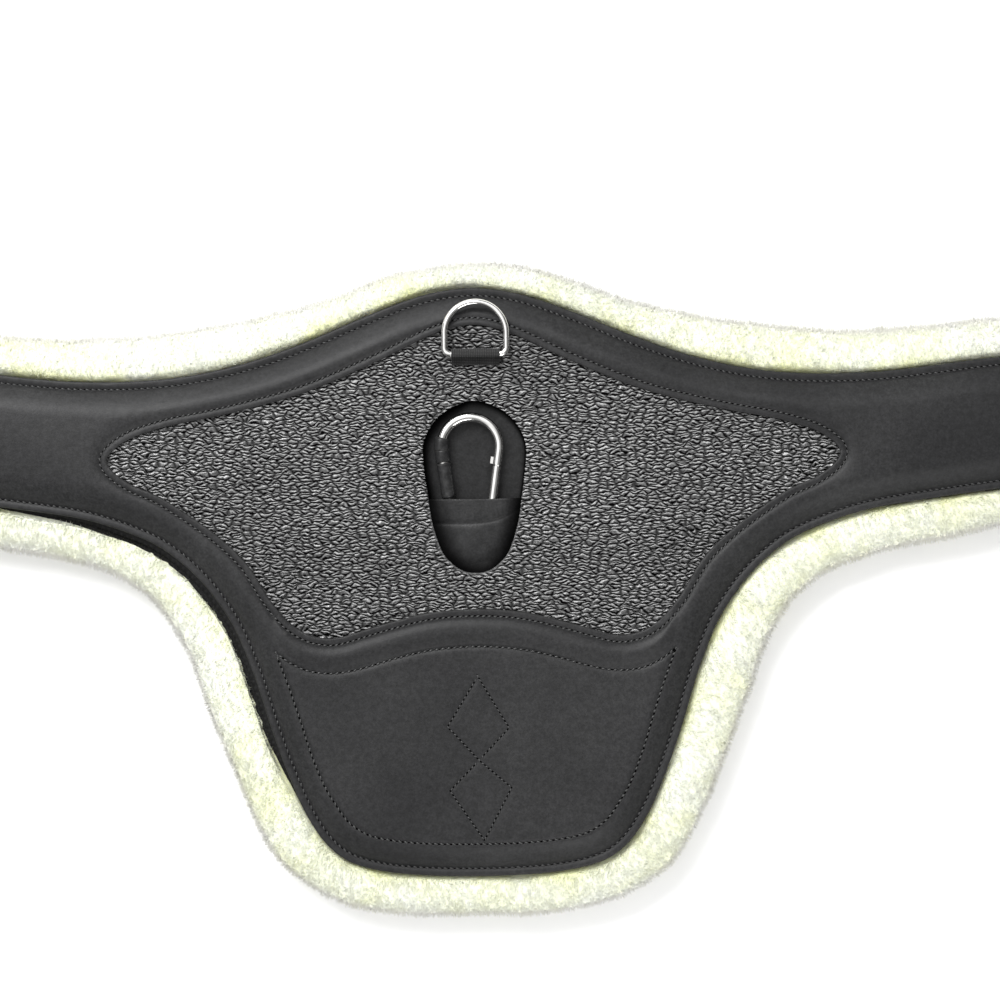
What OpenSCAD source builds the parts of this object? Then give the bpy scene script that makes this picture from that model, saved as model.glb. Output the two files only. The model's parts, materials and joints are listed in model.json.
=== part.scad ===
// Belly-guard girth (stud girth) with a removable fleece liner, laid flat with
// its outside up. Long axis on X, horse's head towards +Y, outside face up.
// Origin: middle of the plan box, on the plane the fleece rests on.

/* [Girth body] */
// Height of the peak of the leather above the middle line
peak_y = 188; // [180:1:194]
// Height of the upper edge where it dips beside the peak
dip_y = 132; // [128:1:136]
// Depth of the belly guard below the middle line
guard_d = 179; // [170:1:184]
// Distance from the middle to the end of each leather strap
strap_end = 478; // [470:1:484]
// Width of the row of stitching and pressed edge round the leather
rim_w = 9; // [8:0.5:10]

/* [Layers] */
// Thickness of the fleece pile under the girth
pile_h = 18; // [15:0.5:20]
// Rounding of the fleece: it stands in by 1 mm less than this below, and by half of it above
fleece_round = 5; // [3:0.5:6]
// Thickness of the foam core
foam_h = 6.7; // [6.5:0.1:7]

/* [Recess and snap hook] */
// Wire diameter of the snap hook
hook_d = 6; // [5:0.5:6]
// Radius of the wide end of the snap hook, at the wire's middle
hook_r1 = 18; // [17:0.5:19]
// Radius of the narrow end of the snap hook, at the wire's middle
hook_r2 = 10.5; // [9.5:0.5:11]
// Distance between the centres of the hook's two ends
hook_l = 54.2; // [52:0.2:56]

/* [D-ring] */
// Wire diameter of the D-ring
dee_d = 4; // [3.5:0.5:4]
// Half width of the D-ring, at the wire's middle
dee_r = 19.15; // [18.5:0.05:20]

/* [Girth buckles] */
// Clear width inside each buckle frame, for the saddle's girth straps
buckle_in = 27; // [26:0.5:28]
// Distance from the hinge bar to the roller bar
buckle_l = 34; // [32:0.5:36]
// Distance from the middle of the girth to each hinge bar
bar_x = 560; // [555:1:565]
// Height of the buckle bars above the resting plane
bar_z = 16; // [14:0.5:18]
// Distance between the front and rear buckles of one end
buckle_pitch = 38; // [37:0.5:40]

/* [Hidden] */
NODES = ["fleece_pile", "fleece_backing", "liner_loop_strips",
    "girth_hook_strips", "lining_leather", "load_webs", "foam_core",
    "band_padding", "ridge_filler", "grain_inlay", "top_leather",
    "recess_cup", "hook_pocket", "hook_keepers", "d_ring_loop",
    "d_ring", "snap_hook_body", "snap_hook_gate", "gate_pin",
    "gate_plunger", "gate_spring",
    "left_front_elastic", "left_front_chape", "left_front_buckle_frame",
    "left_front_buckle_tongue", "left_front_buckle_roller",
    "left_rear_elastic", "left_rear_chape", "left_rear_buckle_frame",
    "left_rear_buckle_tongue", "left_rear_buckle_roller",
    "right_front_elastic", "right_front_chape", "right_front_buckle_frame",
    "right_front_buckle_tongue", "right_front_buckle_roller",
    "right_rear_elastic", "right_rear_chape", "right_rear_buckle_frame",
    "right_rear_buckle_tongue", "right_rear_buckle_roller"];
node = "all";

black = [0.07, 0.07, 0.075];
cream = [0.93, 0.91, 0.80];
steel = [0.80, 0.80, 0.81];
padding_grey = [0.3, 0.3, 0.32];
pocket_black = [0.06, 0.06, 0.065];

// thickness of each layer, and the gap between neighbours
gap = 0.05;
backing_t = 1;
tape_t = 0.9;
lining_t = 1.5;
web_t = 1.7;    // load webs and elastics
inlay_t = 1.5;  // grained leather
top_t = 1.8;    // smooth leather

// underside of each layer
z_back = pile_h;
z_loop = z_back + backing_t + gap;
z_hook = z_loop + tape_t + gap;
z_line = z_hook + tape_t + gap;
z_web = z_line + lining_t + gap;
z_foam = z_web + web_t + 2 * gap;
z_inlay = z_foam + foam_h;
z_top = z_inlay + inlay_t + gap;
z_face = z_top + top_t;  // outside face of the smooth leather

// ---------- curves ----------
// Catmull-Rom curve from start to finish, t from 0 to 1
function spline(before, start, finish, after, t) = 0.5 * (2 * start + (finish - before) * t
    + (2 * before - 5 * start + 4 * finish - after) * t * t
    + (3 * start - before - 3 * finish + after) * t * t * t);
function loop_curve(points, steps) = let (count = len(points))
    [for (i = [0 : count - 1]) for (k = [0 : steps - 1])
        spline(points[(i + count - 1) % count], points[i],
            points[(i + 1) % count], points[(i + 2) % count], k / steps)];
// both halves of a symmetrical closed curve, given the half that starts and ends on x = 0
function both(half) =
    concat(half, [for (i = [len(half) - 2 : -1 : 1]) [-half[i][0], half[i][1]]]);
function unit(v) = v / max(norm(v), 1e-9);
// moves each point of a clockwise closed curve outwards
function grow(points, distance) = let (count = len(points))
    [for (i = [0 : count - 1])
        let (along = unit(points[(i + 1) % count] - points[(i + count - 1) % count]))
        points[i] + distance * [-along[1], along[0]]];
// outline of a band that reaches half_w above and below a line of points
function band(line, half_w) = concat(
    [for (point = line) point + [0, half_w]],
    [for (i = [len(line) - 1 : -1 : 0]) line[i] - [0, half_w]]);
// 0 before first, 1 after last, straight in between
function ramp(x, first, last) = min(max((x - first) / (last - first), 0), 1);
function ease(t) = pow(sin(90 * t), 2);

// ---------- shared solids; cutters overrun the parts they cut ----------
module slab(outline, z, h) translate([0, 0, z]) linear_extrude(h) polygon(outline);
// along +Y from the origin
module rod(r, l) rotate([-90, 0, 0]) cylinder(r = r, h = l, $fn = 48);
// along X, centred
module cross_rod(r, l) translate([-l / 2, 0, 0]) rotate([0, 90, 0])
    cylinder(r = r, h = l, $fn = 48);
// wire bent round Z
module bend(bend_r, wire_r, from, to) rotate([0, 0, from])
    rotate_extrude(angle = to - from, $fn = 96)
        translate([bend_r, 0]) circle(r = wire_r, $fn = 32);
module both_sides() for (m = [0, 1]) mirror([m, 0, 0]) children();

// ---------- outlines ----------
// Each table holds [x, y] for the right half, from the top middle round to the bottom middle.
// part way from the dip to the peak
function upper(part) = dip_y + (peak_y - dip_y) * part;
strap_top_y = 146.5;
strap_low_y = 69;
edge_half = [
    [0, upper(1)], [28, upper(0.935)], [53, upper(0.79)], [78, upper(0.61)],
    [103, upper(0.425)], [128, upper(0.265)], [153, upper(0.14)],
    [178, upper(0.055)], [202, upper(0.012)], [227, upper(0)],
    [252, upper(0.014)], [277, upper(0.055)], [302, upper(0.108)],
    [326, upper(0.155)], [360, 143.2], [400, 145.4], [440, 146.2],
    [strap_end - 14, strap_top_y], [strap_end - 5, strap_top_y - 3.4],
    [strap_end, strap_top_y - 12], [strap_end, strap_top_y - 22],
    [strap_end, strap_low_y + 22], [strap_end, strap_low_y + 12],
    [strap_end - 5, strap_low_y + 3.4], [strap_end - 14, strap_low_y],
    [440, 68], [400, 66], [360, 62.5], [326, 58.6], [294, 54.5],
    [252, 48.2], [227, 41.6], [202, 31.6], [186, 21], [173, 9],
    [163, -3], [152, -20], [144, -38], [137, -57], [130, -80],
    [121.5, -105], [111.5, -130], [105, -143], [95.5, -157],
    [83, -guard_d + 11.4], [66, -guard_d + 5.2], [40, -guard_d + 1.4], [0, -guard_d]];
edge = loop_curve(both(edge_half), 2);

// window in the smooth leather that shows the grained leather
window_half = [
    [0, 164.3], [24, 158.8], [56, 143.8], [90, 129], [116, 120], [156, 110.2],
    [188, 104], [210, 97.4], [222, 90.5], [227.5, 83.5], [224, 76], [212, 67.5],
    [195, 59.8], [175, 46.8], [157, 33.2], [141, 17], [128, -4], [117, -17.4],
    [107, -25], [96, -28.6], [84, -28.4], [60, -21.5], [30, -14.2], [0, -12]];
window = loop_curve(both(window_half), 3);

// ridge between the window and the belly guard panel
ridge_half = [
    [0, -17], [30, -19.2], [60, -26.6], [84, -33.4], [100, -33], [112, -27.5],
    [123, -17], [121, -29], [113, -39.5], [100, -45], [84, -45.6], [60, -40.5],
    [30, -35], [0, -32.5]];
ridge = loop_curve(both(ridge_half), 3);

// egg-shaped opening through the grained leather to the hook's recess
opening_shift = [0.6, 0];
opening_half = [
    [0, 117.4], [13, 113.6], [22.5, 107.2], [28.6, 99], [31.6, 91], [32, 82.6],
    [30.9, 71], [29.2, 59], [27.7, 47.6], [25.4, 37], [20.8, 24],
    [15, 16.6], [8, 11.8], [0, 10.4]];
opening = [for (point = loop_curve(both(opening_half), 3)) point + opening_shift];

// fleece, whose ends stop short of the straps so that the elastics stay free
fleece_half = [
    [0, 203], [25, 200.5], [50, 195], [75, 186.5], [100, 177.5], [125, 171.5],
    [150, 166], [175, 162.5], [200, 159.2], [225, 157.4], [250, 157],
    [275, 158.3], [300, 160.5], [326, 163.5], [360, 166.5], [400, 169],
    [435, 170], [449, 168.2], [457, 162], [460, 152], [460, 140], [460, 107],
    [460, 74], [460, 62], [457, 52], [449, 46.2], [435, 44.8], [400, 43.5],
    [360, 41], [326, 37], [296, 30.5],
    [273, 26.5], [248, 20.5], [224, 12], [208, 1.5], [197, -8], [189, -20],
    [182, -32], [176.5, -44], [172.5, -57], [168, -70], [163, -83],
    [157.5, -97], [151, -113], [144.5, -130], [138.5, -143], [132, -155.5],
    [124, -168], [110, -181], [91, -192], [70, -198.2], [50, -201.6],
    [25, -202.8], [0, -203]];
fleece = loop_curve(both(fleece_half), 2);

// ---------- liner ----------
module fleece_pile() color(cream) {
    foot_h = 3;  // height of the narrower bottom
    slab(grow(fleece, -fleece_round + 1), 0, foot_h + 1);
    slab(fleece, foot_h, pile_h - foot_h - gap);
    // the pile is turned up round the edge of the girth as a roll
    difference() {
        slab(grow(fleece, -fleece_round / 2), pile_h - 1, 6.5);
        slab(grow(edge, 3), pile_h - 2, 10);
    }
}

module fleece_backing() color(black) intersection() {
    slab(grow(edge, 2), z_back, backing_t);
    translate([-455, -250, 0]) cube([910, 500, 60]);
}

// tape strips, each widened by extra along both long edges
module strips(z, extra) {
    for (side = [-1, 1]) {
        translate([side * 350 - 80, 98 - extra, z]) cube([160, 22 + 2 * extra, tape_t]);
        translate([side * 92 - 11 - extra, -90, z]) cube([22 + 2 * extra, 150, tape_t]);
    }
    translate([-70, 140 - extra, z]) cube([140, 20 + 2 * extra, tape_t]);
    translate([-60, -160 - extra, z]) cube([120, 20 + 2 * extra, tape_t]);
}
module liner_loop_strips() color([0.1, 0.1, 0.1]) strips(z_loop, 1);
module girth_hook_strips() color([0.12, 0.12, 0.12]) strips(z_hook, 0);

// ---------- girth body ----------
web_w = 18;
web_end_x = 448;
web_mid_y = 87.5;   // middle of the pair of webs at the centre of the girth
web_end_y = 107.5;  // the same in the straps
web_mid_offset = 15;  // from that middle to each web at the centre
elastic_w = 30;
rim_h = 4.6;
ridge_h = 2;        // ridge cover above the outside face

// row: 1 for the front web, -1 for the rear web
function web_y(x, row) =
    web_mid_y + (web_end_y - web_mid_y) * ease(ramp(abs(x), 240, 400))
    + row * (web_mid_offset
        + (buckle_pitch / 2 - web_mid_offset) * ramp(abs(x), 200, 400));

module lining_leather() color(black) slab(grow(edge, -0.4), z_line, lining_t);

module load_webs() color([0.15, 0.15, 0.16])
    for (row = [-1, 1])
        slab(band([for (x = [-web_end_x : 16 : web_end_x]) [x, web_y(x, row)]], web_w / 2),
            z_web, web_t);

module foam_core() color([0.35, 0.35, 0.37]) difference() {
    slab(grow(edge, -rim_w - 0.5), z_foam, foam_h - gap);
    slab(grow(opening, 1.5), z_foam - 1, foam_h + 2);
    // pocket for the tail of the D-ring loop
    translate([dee_x - loop_w / 2 - 1.5, dee_y - 20.5, z_inlay - 1.75])
        cube([loop_w + 3, 20.8, 2]);
}

module band_padding() color(padding_grey) difference() {
    slab(grow(edge, -rim_w - 0.8), z_inlay, inlay_t - gap);
    slab(grow(window, 7), z_inlay - 1, 4);
    slab(grow(ridge, 0.3), z_inlay - 1, 4);
}

module ridge_filler() color(padding_grey) difference() {
    slab(ridge, z_inlay, 3.9);
    slab(grow(window, 7), z_inlay - 1, inlay_t + 1.1);
}

module grain_inlay() color([0.09, 0.09, 0.095]) difference() {
    slab(grow(window, 6.5), z_inlay, inlay_t);
    slab(opening, z_inlay - 1, 4);
    // slit that the D-ring loop comes up through
    translate([dee_x - loop_w / 2 - 0.7, dee_y - 2.9, z_inlay - 1])
        cube([loop_w + 1.4, 2.6, 4]);
}

module top_leather() color(black) difference() {
    union() {
        // pressed and stitched rim
        difference() {
            slab(edge, z_web, rim_h);
            slab(grow(edge, -rim_w), z_web - 1, 7);
        }
        // raised field with its turned-down side
        difference() {
            slab(grow(edge, -rim_w + 1.5), z_web + rim_h, z_face - z_web - rim_h);
            slab(grow(edge, -rim_w - 0.3), z_web, z_top - z_web);
        }
        slab(grow(ridge, 1.8), z_face - 0.1, ridge_h + 0.1);
    }
    slab(window, z_top - 2, 6);
    slab(grow(ridge, 0.2), z_top - 2, 4.4);
    // mouths for the elastics
    both_sides() for (row = [-1, 1])
        translate([strap_end - 30, web_end_y + row * buckle_pitch / 2 - elastic_w / 2 - 1.3,
                z_web - 1])
            cube([40, elastic_w + 2.6, web_t + 1.2]);
}

// ---------- recess for the snap hook ----------
hook_wire_r = hook_d / 2;
recess_floor_z = z_foam + 1.15;
hook_lift = 1.35;  // clear height of the wire above the floor
hook_x = -2;
hook_z = recess_floor_z + hook_lift + hook_wire_r;
hook_wide_y = 89.2;
hook_narrow_y = hook_wide_y - hook_l;
hook_a = asin((hook_r1 - hook_r2) / hook_l);  // lean of each straight side
spine_l = hook_l * cos(hook_a);
pocket_y = 56.7;   // upper edge of the pocket over the narrow end
keeper_r = hook_wire_r + 0.07;
keeper_t = 1.25;
// [start, length] of each keeper along the spine
keepers = [[26.4, 19.2], [46.2, 6.8]];

module recess_cup() color([0.08, 0.08, 0.085]) difference() {
    slab(grow(opening, 1.3), z_foam + gap, foam_h - 3 * gap);
    slab(grow(opening, 0.1), recess_floor_z, foam_h + 2);
}

// opening outline, moved in by inset, from z_low to z_high and from y = 0 to y_end
module pocket_block(inset, z_low, z_high, y_end) intersection() {
    slab(grow(opening, -inset), z_low, z_high - z_low);
    translate([-60, 0, 0]) cube([120, y_end, 60]);
}
module hook_pocket() color(pocket_black) difference() {
    wire_top_z = hook_z + hook_wire_r;
    pocket_block(0.3, recess_floor_z + gap, wire_top_z + 1.3, pocket_y);
    pocket_block(1.6, z_foam, wire_top_z + 0.1, pocket_y + 1);
}

// frame of the spine, the hook's -X side: origin at its narrow end, +Y up the wire
module on_spine()
    translate([hook_x - hook_r2 * cos(hook_a), hook_narrow_y - hook_r2 * sin(hook_a), hook_z])
        rotate([0, 0, hook_a]) children();
// the same for the gate side, mirrored so that +X still points inwards
module on_gate() translate([hook_x, 0, 0]) mirror([1, 0, 0]) translate([-hook_x, 0, 0])
    on_spine() children();

module hook_keepers() color(pocket_black) on_spine()
    for (keeper = keepers) translate([0, keeper[0], 0]) difference() {
        union() {
            rod(keeper_r + keeper_t, keeper[1]);
            // foot sewn down on the floor of the recess
            translate([-4.1, 0, -keeper_r - keeper_t]) cube([7.4, keeper[1], 1.3]);
        }
        translate([0, -1, 0]) rod(keeper_r, keeper[1] + 2);
    }

// ---------- snap hook ----------
nose_l = 9.4;   // straight wire between the wide bend and the gate
pin_l = 5.6;    // distance of the gate pin above the narrow bend
gate_l = spine_l - nose_l - pin_l - 0.9;
pin_r = 1;
tab_r = 2.6;    // hinge tab
tab_t = 2.2;

// frame of the gate, with its origin on the gate pin
module on_hinge() on_gate() translate([0, pin_l, 0]) children();
module pin_bore(r) translate([0, 0, -4]) cylinder(r = r, h = 8, $fn = 32);

// slight rings where the bends meet a straight length of the wire
module seams() for (y = [0, spine_l])
    translate([0, y - 0.5, 0]) rod(hook_wire_r + 0.04, 1);

module snap_hook_body() color(steel) difference() {
    union() {
        translate([hook_x, hook_wide_y, hook_z])
            bend(hook_r1, hook_wire_r, -hook_a, 180 + hook_a);
        translate([hook_x, hook_narrow_y, hook_z])
            bend(hook_r2, hook_wire_r, 180 + hook_a, 360 - hook_a);
        on_spine() {
            translate([0, 0.1, 0]) rod(hook_wire_r, spine_l - 0.2);
            seams();
        }
        on_gate() {
            seams();
            translate([0, spine_l - nose_l, 0]) {
                // nose with its catch: a flat tongue and a cross pin
                rod(hook_wire_r, nose_l - 0.1);
                translate([-1.2, -4.8, -0.8]) cube([2.4, 5.2, 1.6]);
                translate([0, -3.65, -2]) cylinder(r = 0.9, h = 4, $fn = 24);
                // small stop on the inner side of the nose
                translate([hook_wire_r - 0.8, 0.4, -0.9]) cube([2.2, 4.2, 1.8]);
            }
            // flat hinge tab
            translate([-tab_r, -0.1, -tab_t / 2]) cube([2 * tab_r, pin_l + 0.1, tab_t]);
            translate([0, pin_l, -tab_t / 2]) cylinder(r = tab_r, h = tab_t, $fn = 48);
        }
    }
    on_hinge() pin_bore(pin_r + 0.05);
}

module gate_pin() color(steel) on_hinge() translate([0, 0, -hook_wire_r + 0.2])
    cylinder(r = pin_r, h = 2 * hook_wire_r - 0.4, $fn = 32);

module snap_hook_gate() color(steel) on_hinge() difference() {
    union() {
        rod(hook_wire_r, gate_l);
        // rounded hinge end
        intersection() {
            translate([0, 0, -hook_wire_r]) cylinder(r = 2.9, h = 2 * hook_wire_r, $fn = 48);
            translate([0, -4, 0]) rod(hook_wire_r, 8);
        }
    }
    // slot for the hinge tab, and bore for the pin
    translate([-4, -4, -tab_t / 2 - 0.1]) cube([8, 7.2, tab_t + 0.2]);
    pin_bore(pin_r + 0.04);
    // bore for the spring and its plunger
    translate([0, 3, 0]) rod(1.9, 15);
    // slot for the catch, with a seat for its cross pin open to the outside
    translate([-4, gate_l - 4.2, -0.95]) cube([8, 5, 1.9]);
    translate([-4, gate_l - 3.9, -2.2]) cube([5.1, 2.3, 4.4]);
}

module gate_plunger() color(steel) on_hinge() translate([0, 3.6, 0]) rod(1.75, 3);

module gate_spring() color(steel) on_hinge() translate([0, 6.9, 0]) rotate([-90, 0, 0])
    linear_extrude(height = 10.4, twist = -360 * 7, slices = 84)
        translate([1.25, 0]) circle(r = 0.32, $fn = 8);

// ---------- D-ring ----------
dee_wire_r = dee_d / 2;
dee_x = 2;
dee_y = 146;
dee_z = z_face + dee_wire_r + 0.15;
bow_y = 13.2;     // from the bar to the centre of the bow
dee_corner = 4;   // bend at each end of the bar
loop_w = 30;      // webbing loop round the bar
loop_t = 1.5;

module at_dee() translate([dee_x, dee_y, dee_z]) children();

module d_ring() color(steel) at_dee() {
    cross_rod(dee_wire_r, 2 * (dee_r - dee_corner));
    translate([0, bow_y, 0]) bend(dee_r, dee_wire_r, 0, 180);
    both_sides() {
        translate([dee_r - dee_corner, dee_corner, 0]) bend(dee_corner, dee_wire_r, -90, 0);
        translate([dee_r, dee_corner, 0]) rod(dee_wire_r, bow_y - dee_corner);
    }
}

module d_ring_loop() color([0.05, 0.05, 0.05]) at_dee() difference() {
    tail_z = z_inlay - 1.6 - dee_z;
    union() {
        cross_rod(dee_wire_r + loop_t, loop_w);
        // both ends of the webbing go down through the slit and lie under the grained leather
        translate([-loop_w / 2, -2.6, tail_z]) cube([loop_w, 2, -tail_z]);
        translate([-loop_w / 2, -19, tail_z]) cube([loop_w, 18, loop_t]);
    }
    cross_rod(dee_wire_r + 0.06, loop_w + 10);
}

// ---------- ends ----------
left = 1;   // -X end
right = 0;  // +X end
front = 1;  // row towards the head
rear = -1;

module at_row(side, row) mirror([side, 0, 0])
    translate([0, web_end_y + row * buckle_pitch / 2, 0]) children();
// frame with its origin on the hinge bar
module at_bar(side, row) at_row(side, row) translate([bar_x, 0, bar_z]) children();

// the elastic leaves the strap between the two leathers and drops to the buckles
drop_start = 484;
drop_end = 522;
drop_step = (drop_end - drop_start) / 10;
strap_z = z_web + web_t / 2;
elastic_line = [
    for (x = [456, 470, for (i = [drop_start : drop_step : drop_end]) i, 535, bar_x - 12])
        [x, strap_z + (bar_z - strap_z) * ease(ramp(x, drop_start, drop_end))]];

module elastic(side, row) color([0.1, 0.1, 0.1]) at_row(side, row)
    translate([0, elastic_w / 2, 0]) rotate([90, 0, 0])
        linear_extrude(elastic_w) polygon(band(elastic_line, web_t / 2));

chape_w = 25;
module chape(side, row) color(black) at_bar(side, row) difference() {
    union() {
        translate([0, -chape_w / 2, 0]) rod(3.9, chape_w);
        // leaves above and below the elastic
        for (k = [0, 1]) mirror([0, 0, k])
            translate([-34, -chape_w / 2, 0.92]) cube([33, chape_w, 1.8]);
    }
    translate([0, -20, 0]) rod(frame_r + 0.07, 40);
    // slot for the tongue
    translate([-10, -3, -6]) cube([20, 6, 12]);
}

frame_r = 2;      // wire radius
frame_corner = 2.2;
frame_y = buckle_in / 2 + frame_r;
module buckle_frame(side, row) color(steel) at_bar(side, row) {
    corner_y = frame_y - frame_corner;
    for (x = [0, buckle_l]) translate([x, -corner_y, 0]) rod(frame_r, 2 * corner_y);
    for (y = [-frame_y, frame_y]) translate([buckle_l / 2, y, 0])
        cross_rod(frame_r, buckle_l - 2 * frame_corner);
    for (k = [0 : 3])
        translate([k % 3 == 0 ? buckle_l - frame_corner : frame_corner,
                k < 2 ? corner_y : -corner_y, 0])
            bend(frame_corner, frame_r, 90 * k, 90 * k + 90);
}

roller_r = 3.4;
tongue_r = 1.6;
tongue_l = buckle_l + 4;
// the tongue slopes down to pass just under the roller
tongue_a = asin((roller_r + tongue_r + 0.1) / buckle_l);
module buckle_tongue(side, row) color(steel) at_bar(side, row) difference() {
    union() {
        translate([0, -2.2, 0]) rod(3.7, 4.4);
        rotate([0, 90 - tongue_a, 0]) {
            cylinder(r = tongue_r, h = tongue_l, $fn = 32);
            translate([0, 0, tongue_l]) sphere(r = tongue_r, $fn = 32);
        }
    }
    translate([0, -5, 0]) rod(frame_r + 0.06, 10);
}

module buckle_roller(side, row) color(steel) at_bar(side, row)
    translate([buckle_l, 0, 0]) difference() {
        translate([0, -buckle_in / 2 + 0.35, 0]) rod(roller_r, buckle_in - 0.7);
        translate([0, -buckle_in, 0]) rod(frame_r + 0.06, 2 * buckle_in);
    }

function shown(name) = node == "all" || node == name;
if (shown("fleece_pile")) fleece_pile();
if (shown("fleece_backing")) fleece_backing();
if (shown("liner_loop_strips")) liner_loop_strips();
if (shown("girth_hook_strips")) girth_hook_strips();
if (shown("lining_leather")) lining_leather();
if (shown("load_webs")) load_webs();
if (shown("foam_core")) foam_core();
if (shown("band_padding")) band_padding();
if (shown("ridge_filler")) ridge_filler();
if (shown("grain_inlay")) grain_inlay();
if (shown("top_leather")) top_leather();
if (shown("recess_cup")) recess_cup();
if (shown("hook_pocket")) hook_pocket();
if (shown("hook_keepers")) hook_keepers();
if (shown("d_ring_loop")) d_ring_loop();
if (shown("d_ring")) d_ring();
if (shown("snap_hook_body")) snap_hook_body();
if (shown("snap_hook_gate")) snap_hook_gate();
if (shown("gate_pin")) gate_pin();
if (shown("gate_plunger")) gate_plunger();
if (shown("gate_spring")) gate_spring();
if (shown("left_front_elastic")) elastic(left, front);
if (shown("left_front_chape")) chape(left, front);
if (shown("left_front_buckle_frame")) buckle_frame(left, front);
if (shown("left_front_buckle_tongue")) buckle_tongue(left, front);
if (shown("left_front_buckle_roller")) buckle_roller(left, front);
if (shown("left_rear_elastic")) elastic(left, rear);
if (shown("left_rear_chape")) chape(left, rear);
if (shown("left_rear_buckle_frame")) buckle_frame(left, rear);
if (shown("left_rear_buckle_tongue")) buckle_tongue(left, rear);
if (shown("left_rear_buckle_roller")) buckle_roller(left, rear);
if (shown("right_front_elastic")) elastic(right, front);
if (shown("right_front_chape")) chape(right, front);
if (shown("right_front_buckle_frame")) buckle_frame(right, front);
if (shown("right_front_buckle_tongue")) buckle_tongue(right, front);
if (shown("right_front_buckle_roller")) buckle_roller(right, front);
if (shown("right_rear_elastic")) elastic(right, rear);
if (shown("right_rear_chape")) chape(right, rear);
if (shown("right_rear_buckle_frame")) buckle_frame(right, rear);
if (shown("right_rear_buckle_tongue")) buckle_tongue(right, rear);
if (shown("right_rear_buckle_roller")) buckle_roller(right, rear);
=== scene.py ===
"""A belly-guard girth with a snap hook in a recess, a D-ring, four buckles and a fleece pad.

It lies face up on z = 0 with its length along X, and the guard's deep part points to -Y.
Left is -X and right is +X. Lengths are in millimetres until a mesh is made.
"""

import json
import math
from itertools import product

import bmesh
import bpy
import numpy as np
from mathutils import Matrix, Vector, kdtree
from mathutils.geometry import delaunay_2d_cdt
from numpy.linalg import norm


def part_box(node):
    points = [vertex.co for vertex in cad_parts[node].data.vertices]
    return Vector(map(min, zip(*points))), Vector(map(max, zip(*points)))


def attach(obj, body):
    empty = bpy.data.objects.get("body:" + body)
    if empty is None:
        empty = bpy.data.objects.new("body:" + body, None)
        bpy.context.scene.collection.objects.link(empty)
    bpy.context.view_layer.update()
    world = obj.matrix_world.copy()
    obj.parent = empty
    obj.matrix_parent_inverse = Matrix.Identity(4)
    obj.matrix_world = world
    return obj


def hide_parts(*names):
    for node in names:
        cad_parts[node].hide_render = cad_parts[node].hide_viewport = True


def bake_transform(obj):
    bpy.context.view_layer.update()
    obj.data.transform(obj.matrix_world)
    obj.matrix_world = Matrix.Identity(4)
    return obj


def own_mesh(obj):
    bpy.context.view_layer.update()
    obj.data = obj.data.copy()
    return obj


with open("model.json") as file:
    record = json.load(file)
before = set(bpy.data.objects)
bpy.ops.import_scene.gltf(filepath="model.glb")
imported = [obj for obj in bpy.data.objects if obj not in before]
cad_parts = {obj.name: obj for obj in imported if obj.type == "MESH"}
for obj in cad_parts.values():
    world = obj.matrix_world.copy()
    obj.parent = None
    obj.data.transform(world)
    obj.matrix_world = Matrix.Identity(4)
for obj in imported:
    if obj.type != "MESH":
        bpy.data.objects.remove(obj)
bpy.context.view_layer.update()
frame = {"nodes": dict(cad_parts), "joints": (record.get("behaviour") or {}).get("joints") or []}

NODES = frame["nodes"]
MM = 0.001


# ------------------------------------------------------------------ noise and profiles
def lattice(points, size):
    """The points in units of size, with z = 0 added if it is missing, and their cells."""
    scaled = np.asarray(points, float) / size
    if scaled.shape[1] == 2:
        scaled = np.column_stack([scaled, np.zeros(len(scaled))])
    return scaled, np.floor(scaled).astype(np.int64)


def lattice_hash(x, y, z, seed):
    """A repeatable number from 0 to 1 for each lattice corner."""
    h = (x * 73856093) ^ (y * 19349663) ^ (z * 83492791) ^ (seed * 2654435761)
    h = (h ^ (h >> 13)) * 1274126177
    h = (h ^ (h >> 16)) & 0x7FFFFFFF
    return h / float(0x7FFFFFFF)


def noise(points, size, seed=0):
    """Smooth value noise from -1 to 1; size is the size of a bump."""
    scaled, cell = lattice(points, size)
    part = scaled - cell
    part = part * part * (3 - 2 * part)
    total = np.zeros(len(scaled))
    for corner in product((0, 1), repeat=3):
        x, y, z = (part[:, k] if corner[k] else 1 - part[:, k] for k in range(3))
        total += x * y * z * lattice_hash(*(cell + corner).T, seed)
    return total * 2 - 1


def cell_noise(points, size, seed=0):
    """Distance to the nearest and second nearest feature point, in cell sizes."""
    solid_noise = np.shape(points)[1] == 3
    scaled, cell = lattice(points, size)
    first = np.full(len(scaled), 9.0)
    second = np.full(len(scaled), 9.0)
    for step in product((-1, 0, 1), (-1, 0, 1), (-1, 0, 1) if solid_noise else (0,)):
        x, y, z = (cell + step).T
        dx = x + lattice_hash(x, y, z, seed) - scaled[:, 0]
        dy = y + lattice_hash(x, y, z, seed + 7) - scaled[:, 1]
        dz = (z + lattice_hash(x, y, z, seed + 13) - scaled[:, 2]) if solid_noise else 0.0
        d = np.sqrt(dx * dx + dy * dy + dz * dz)
        nearer = d < first
        second = np.where(nearer, first, np.minimum(second, d))
        first = np.where(nearer, d, first)
    return first, second


def ease(t):
    t = np.clip(t, 0, 1)
    return t * t * (3 - 2 * t)


def crown(t):
    return np.sin(np.clip(t, 0, 1) * math.pi / 2)


def bell(d, width):
    return np.exp(-((d / width) ** 2))


def round_off(d, width, drop, steep=0.98):
    """How far a rounded edge falls at distance d inside it: all of drop at 0 if steep is 1."""
    t = np.clip(1 - d / width, 0, 1)
    return drop * (1 - np.sqrt(1 - t * t * steep))


def unit(vectors):
    return vectors / np.maximum(norm(vectors, axis=-1, keepdims=True), 1e-9)


# ------------------------------------------------------------------ reading the CAD
def mesh_points(mesh):
    return np.array([v.co for v in mesh.vertices]) / MM


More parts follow.
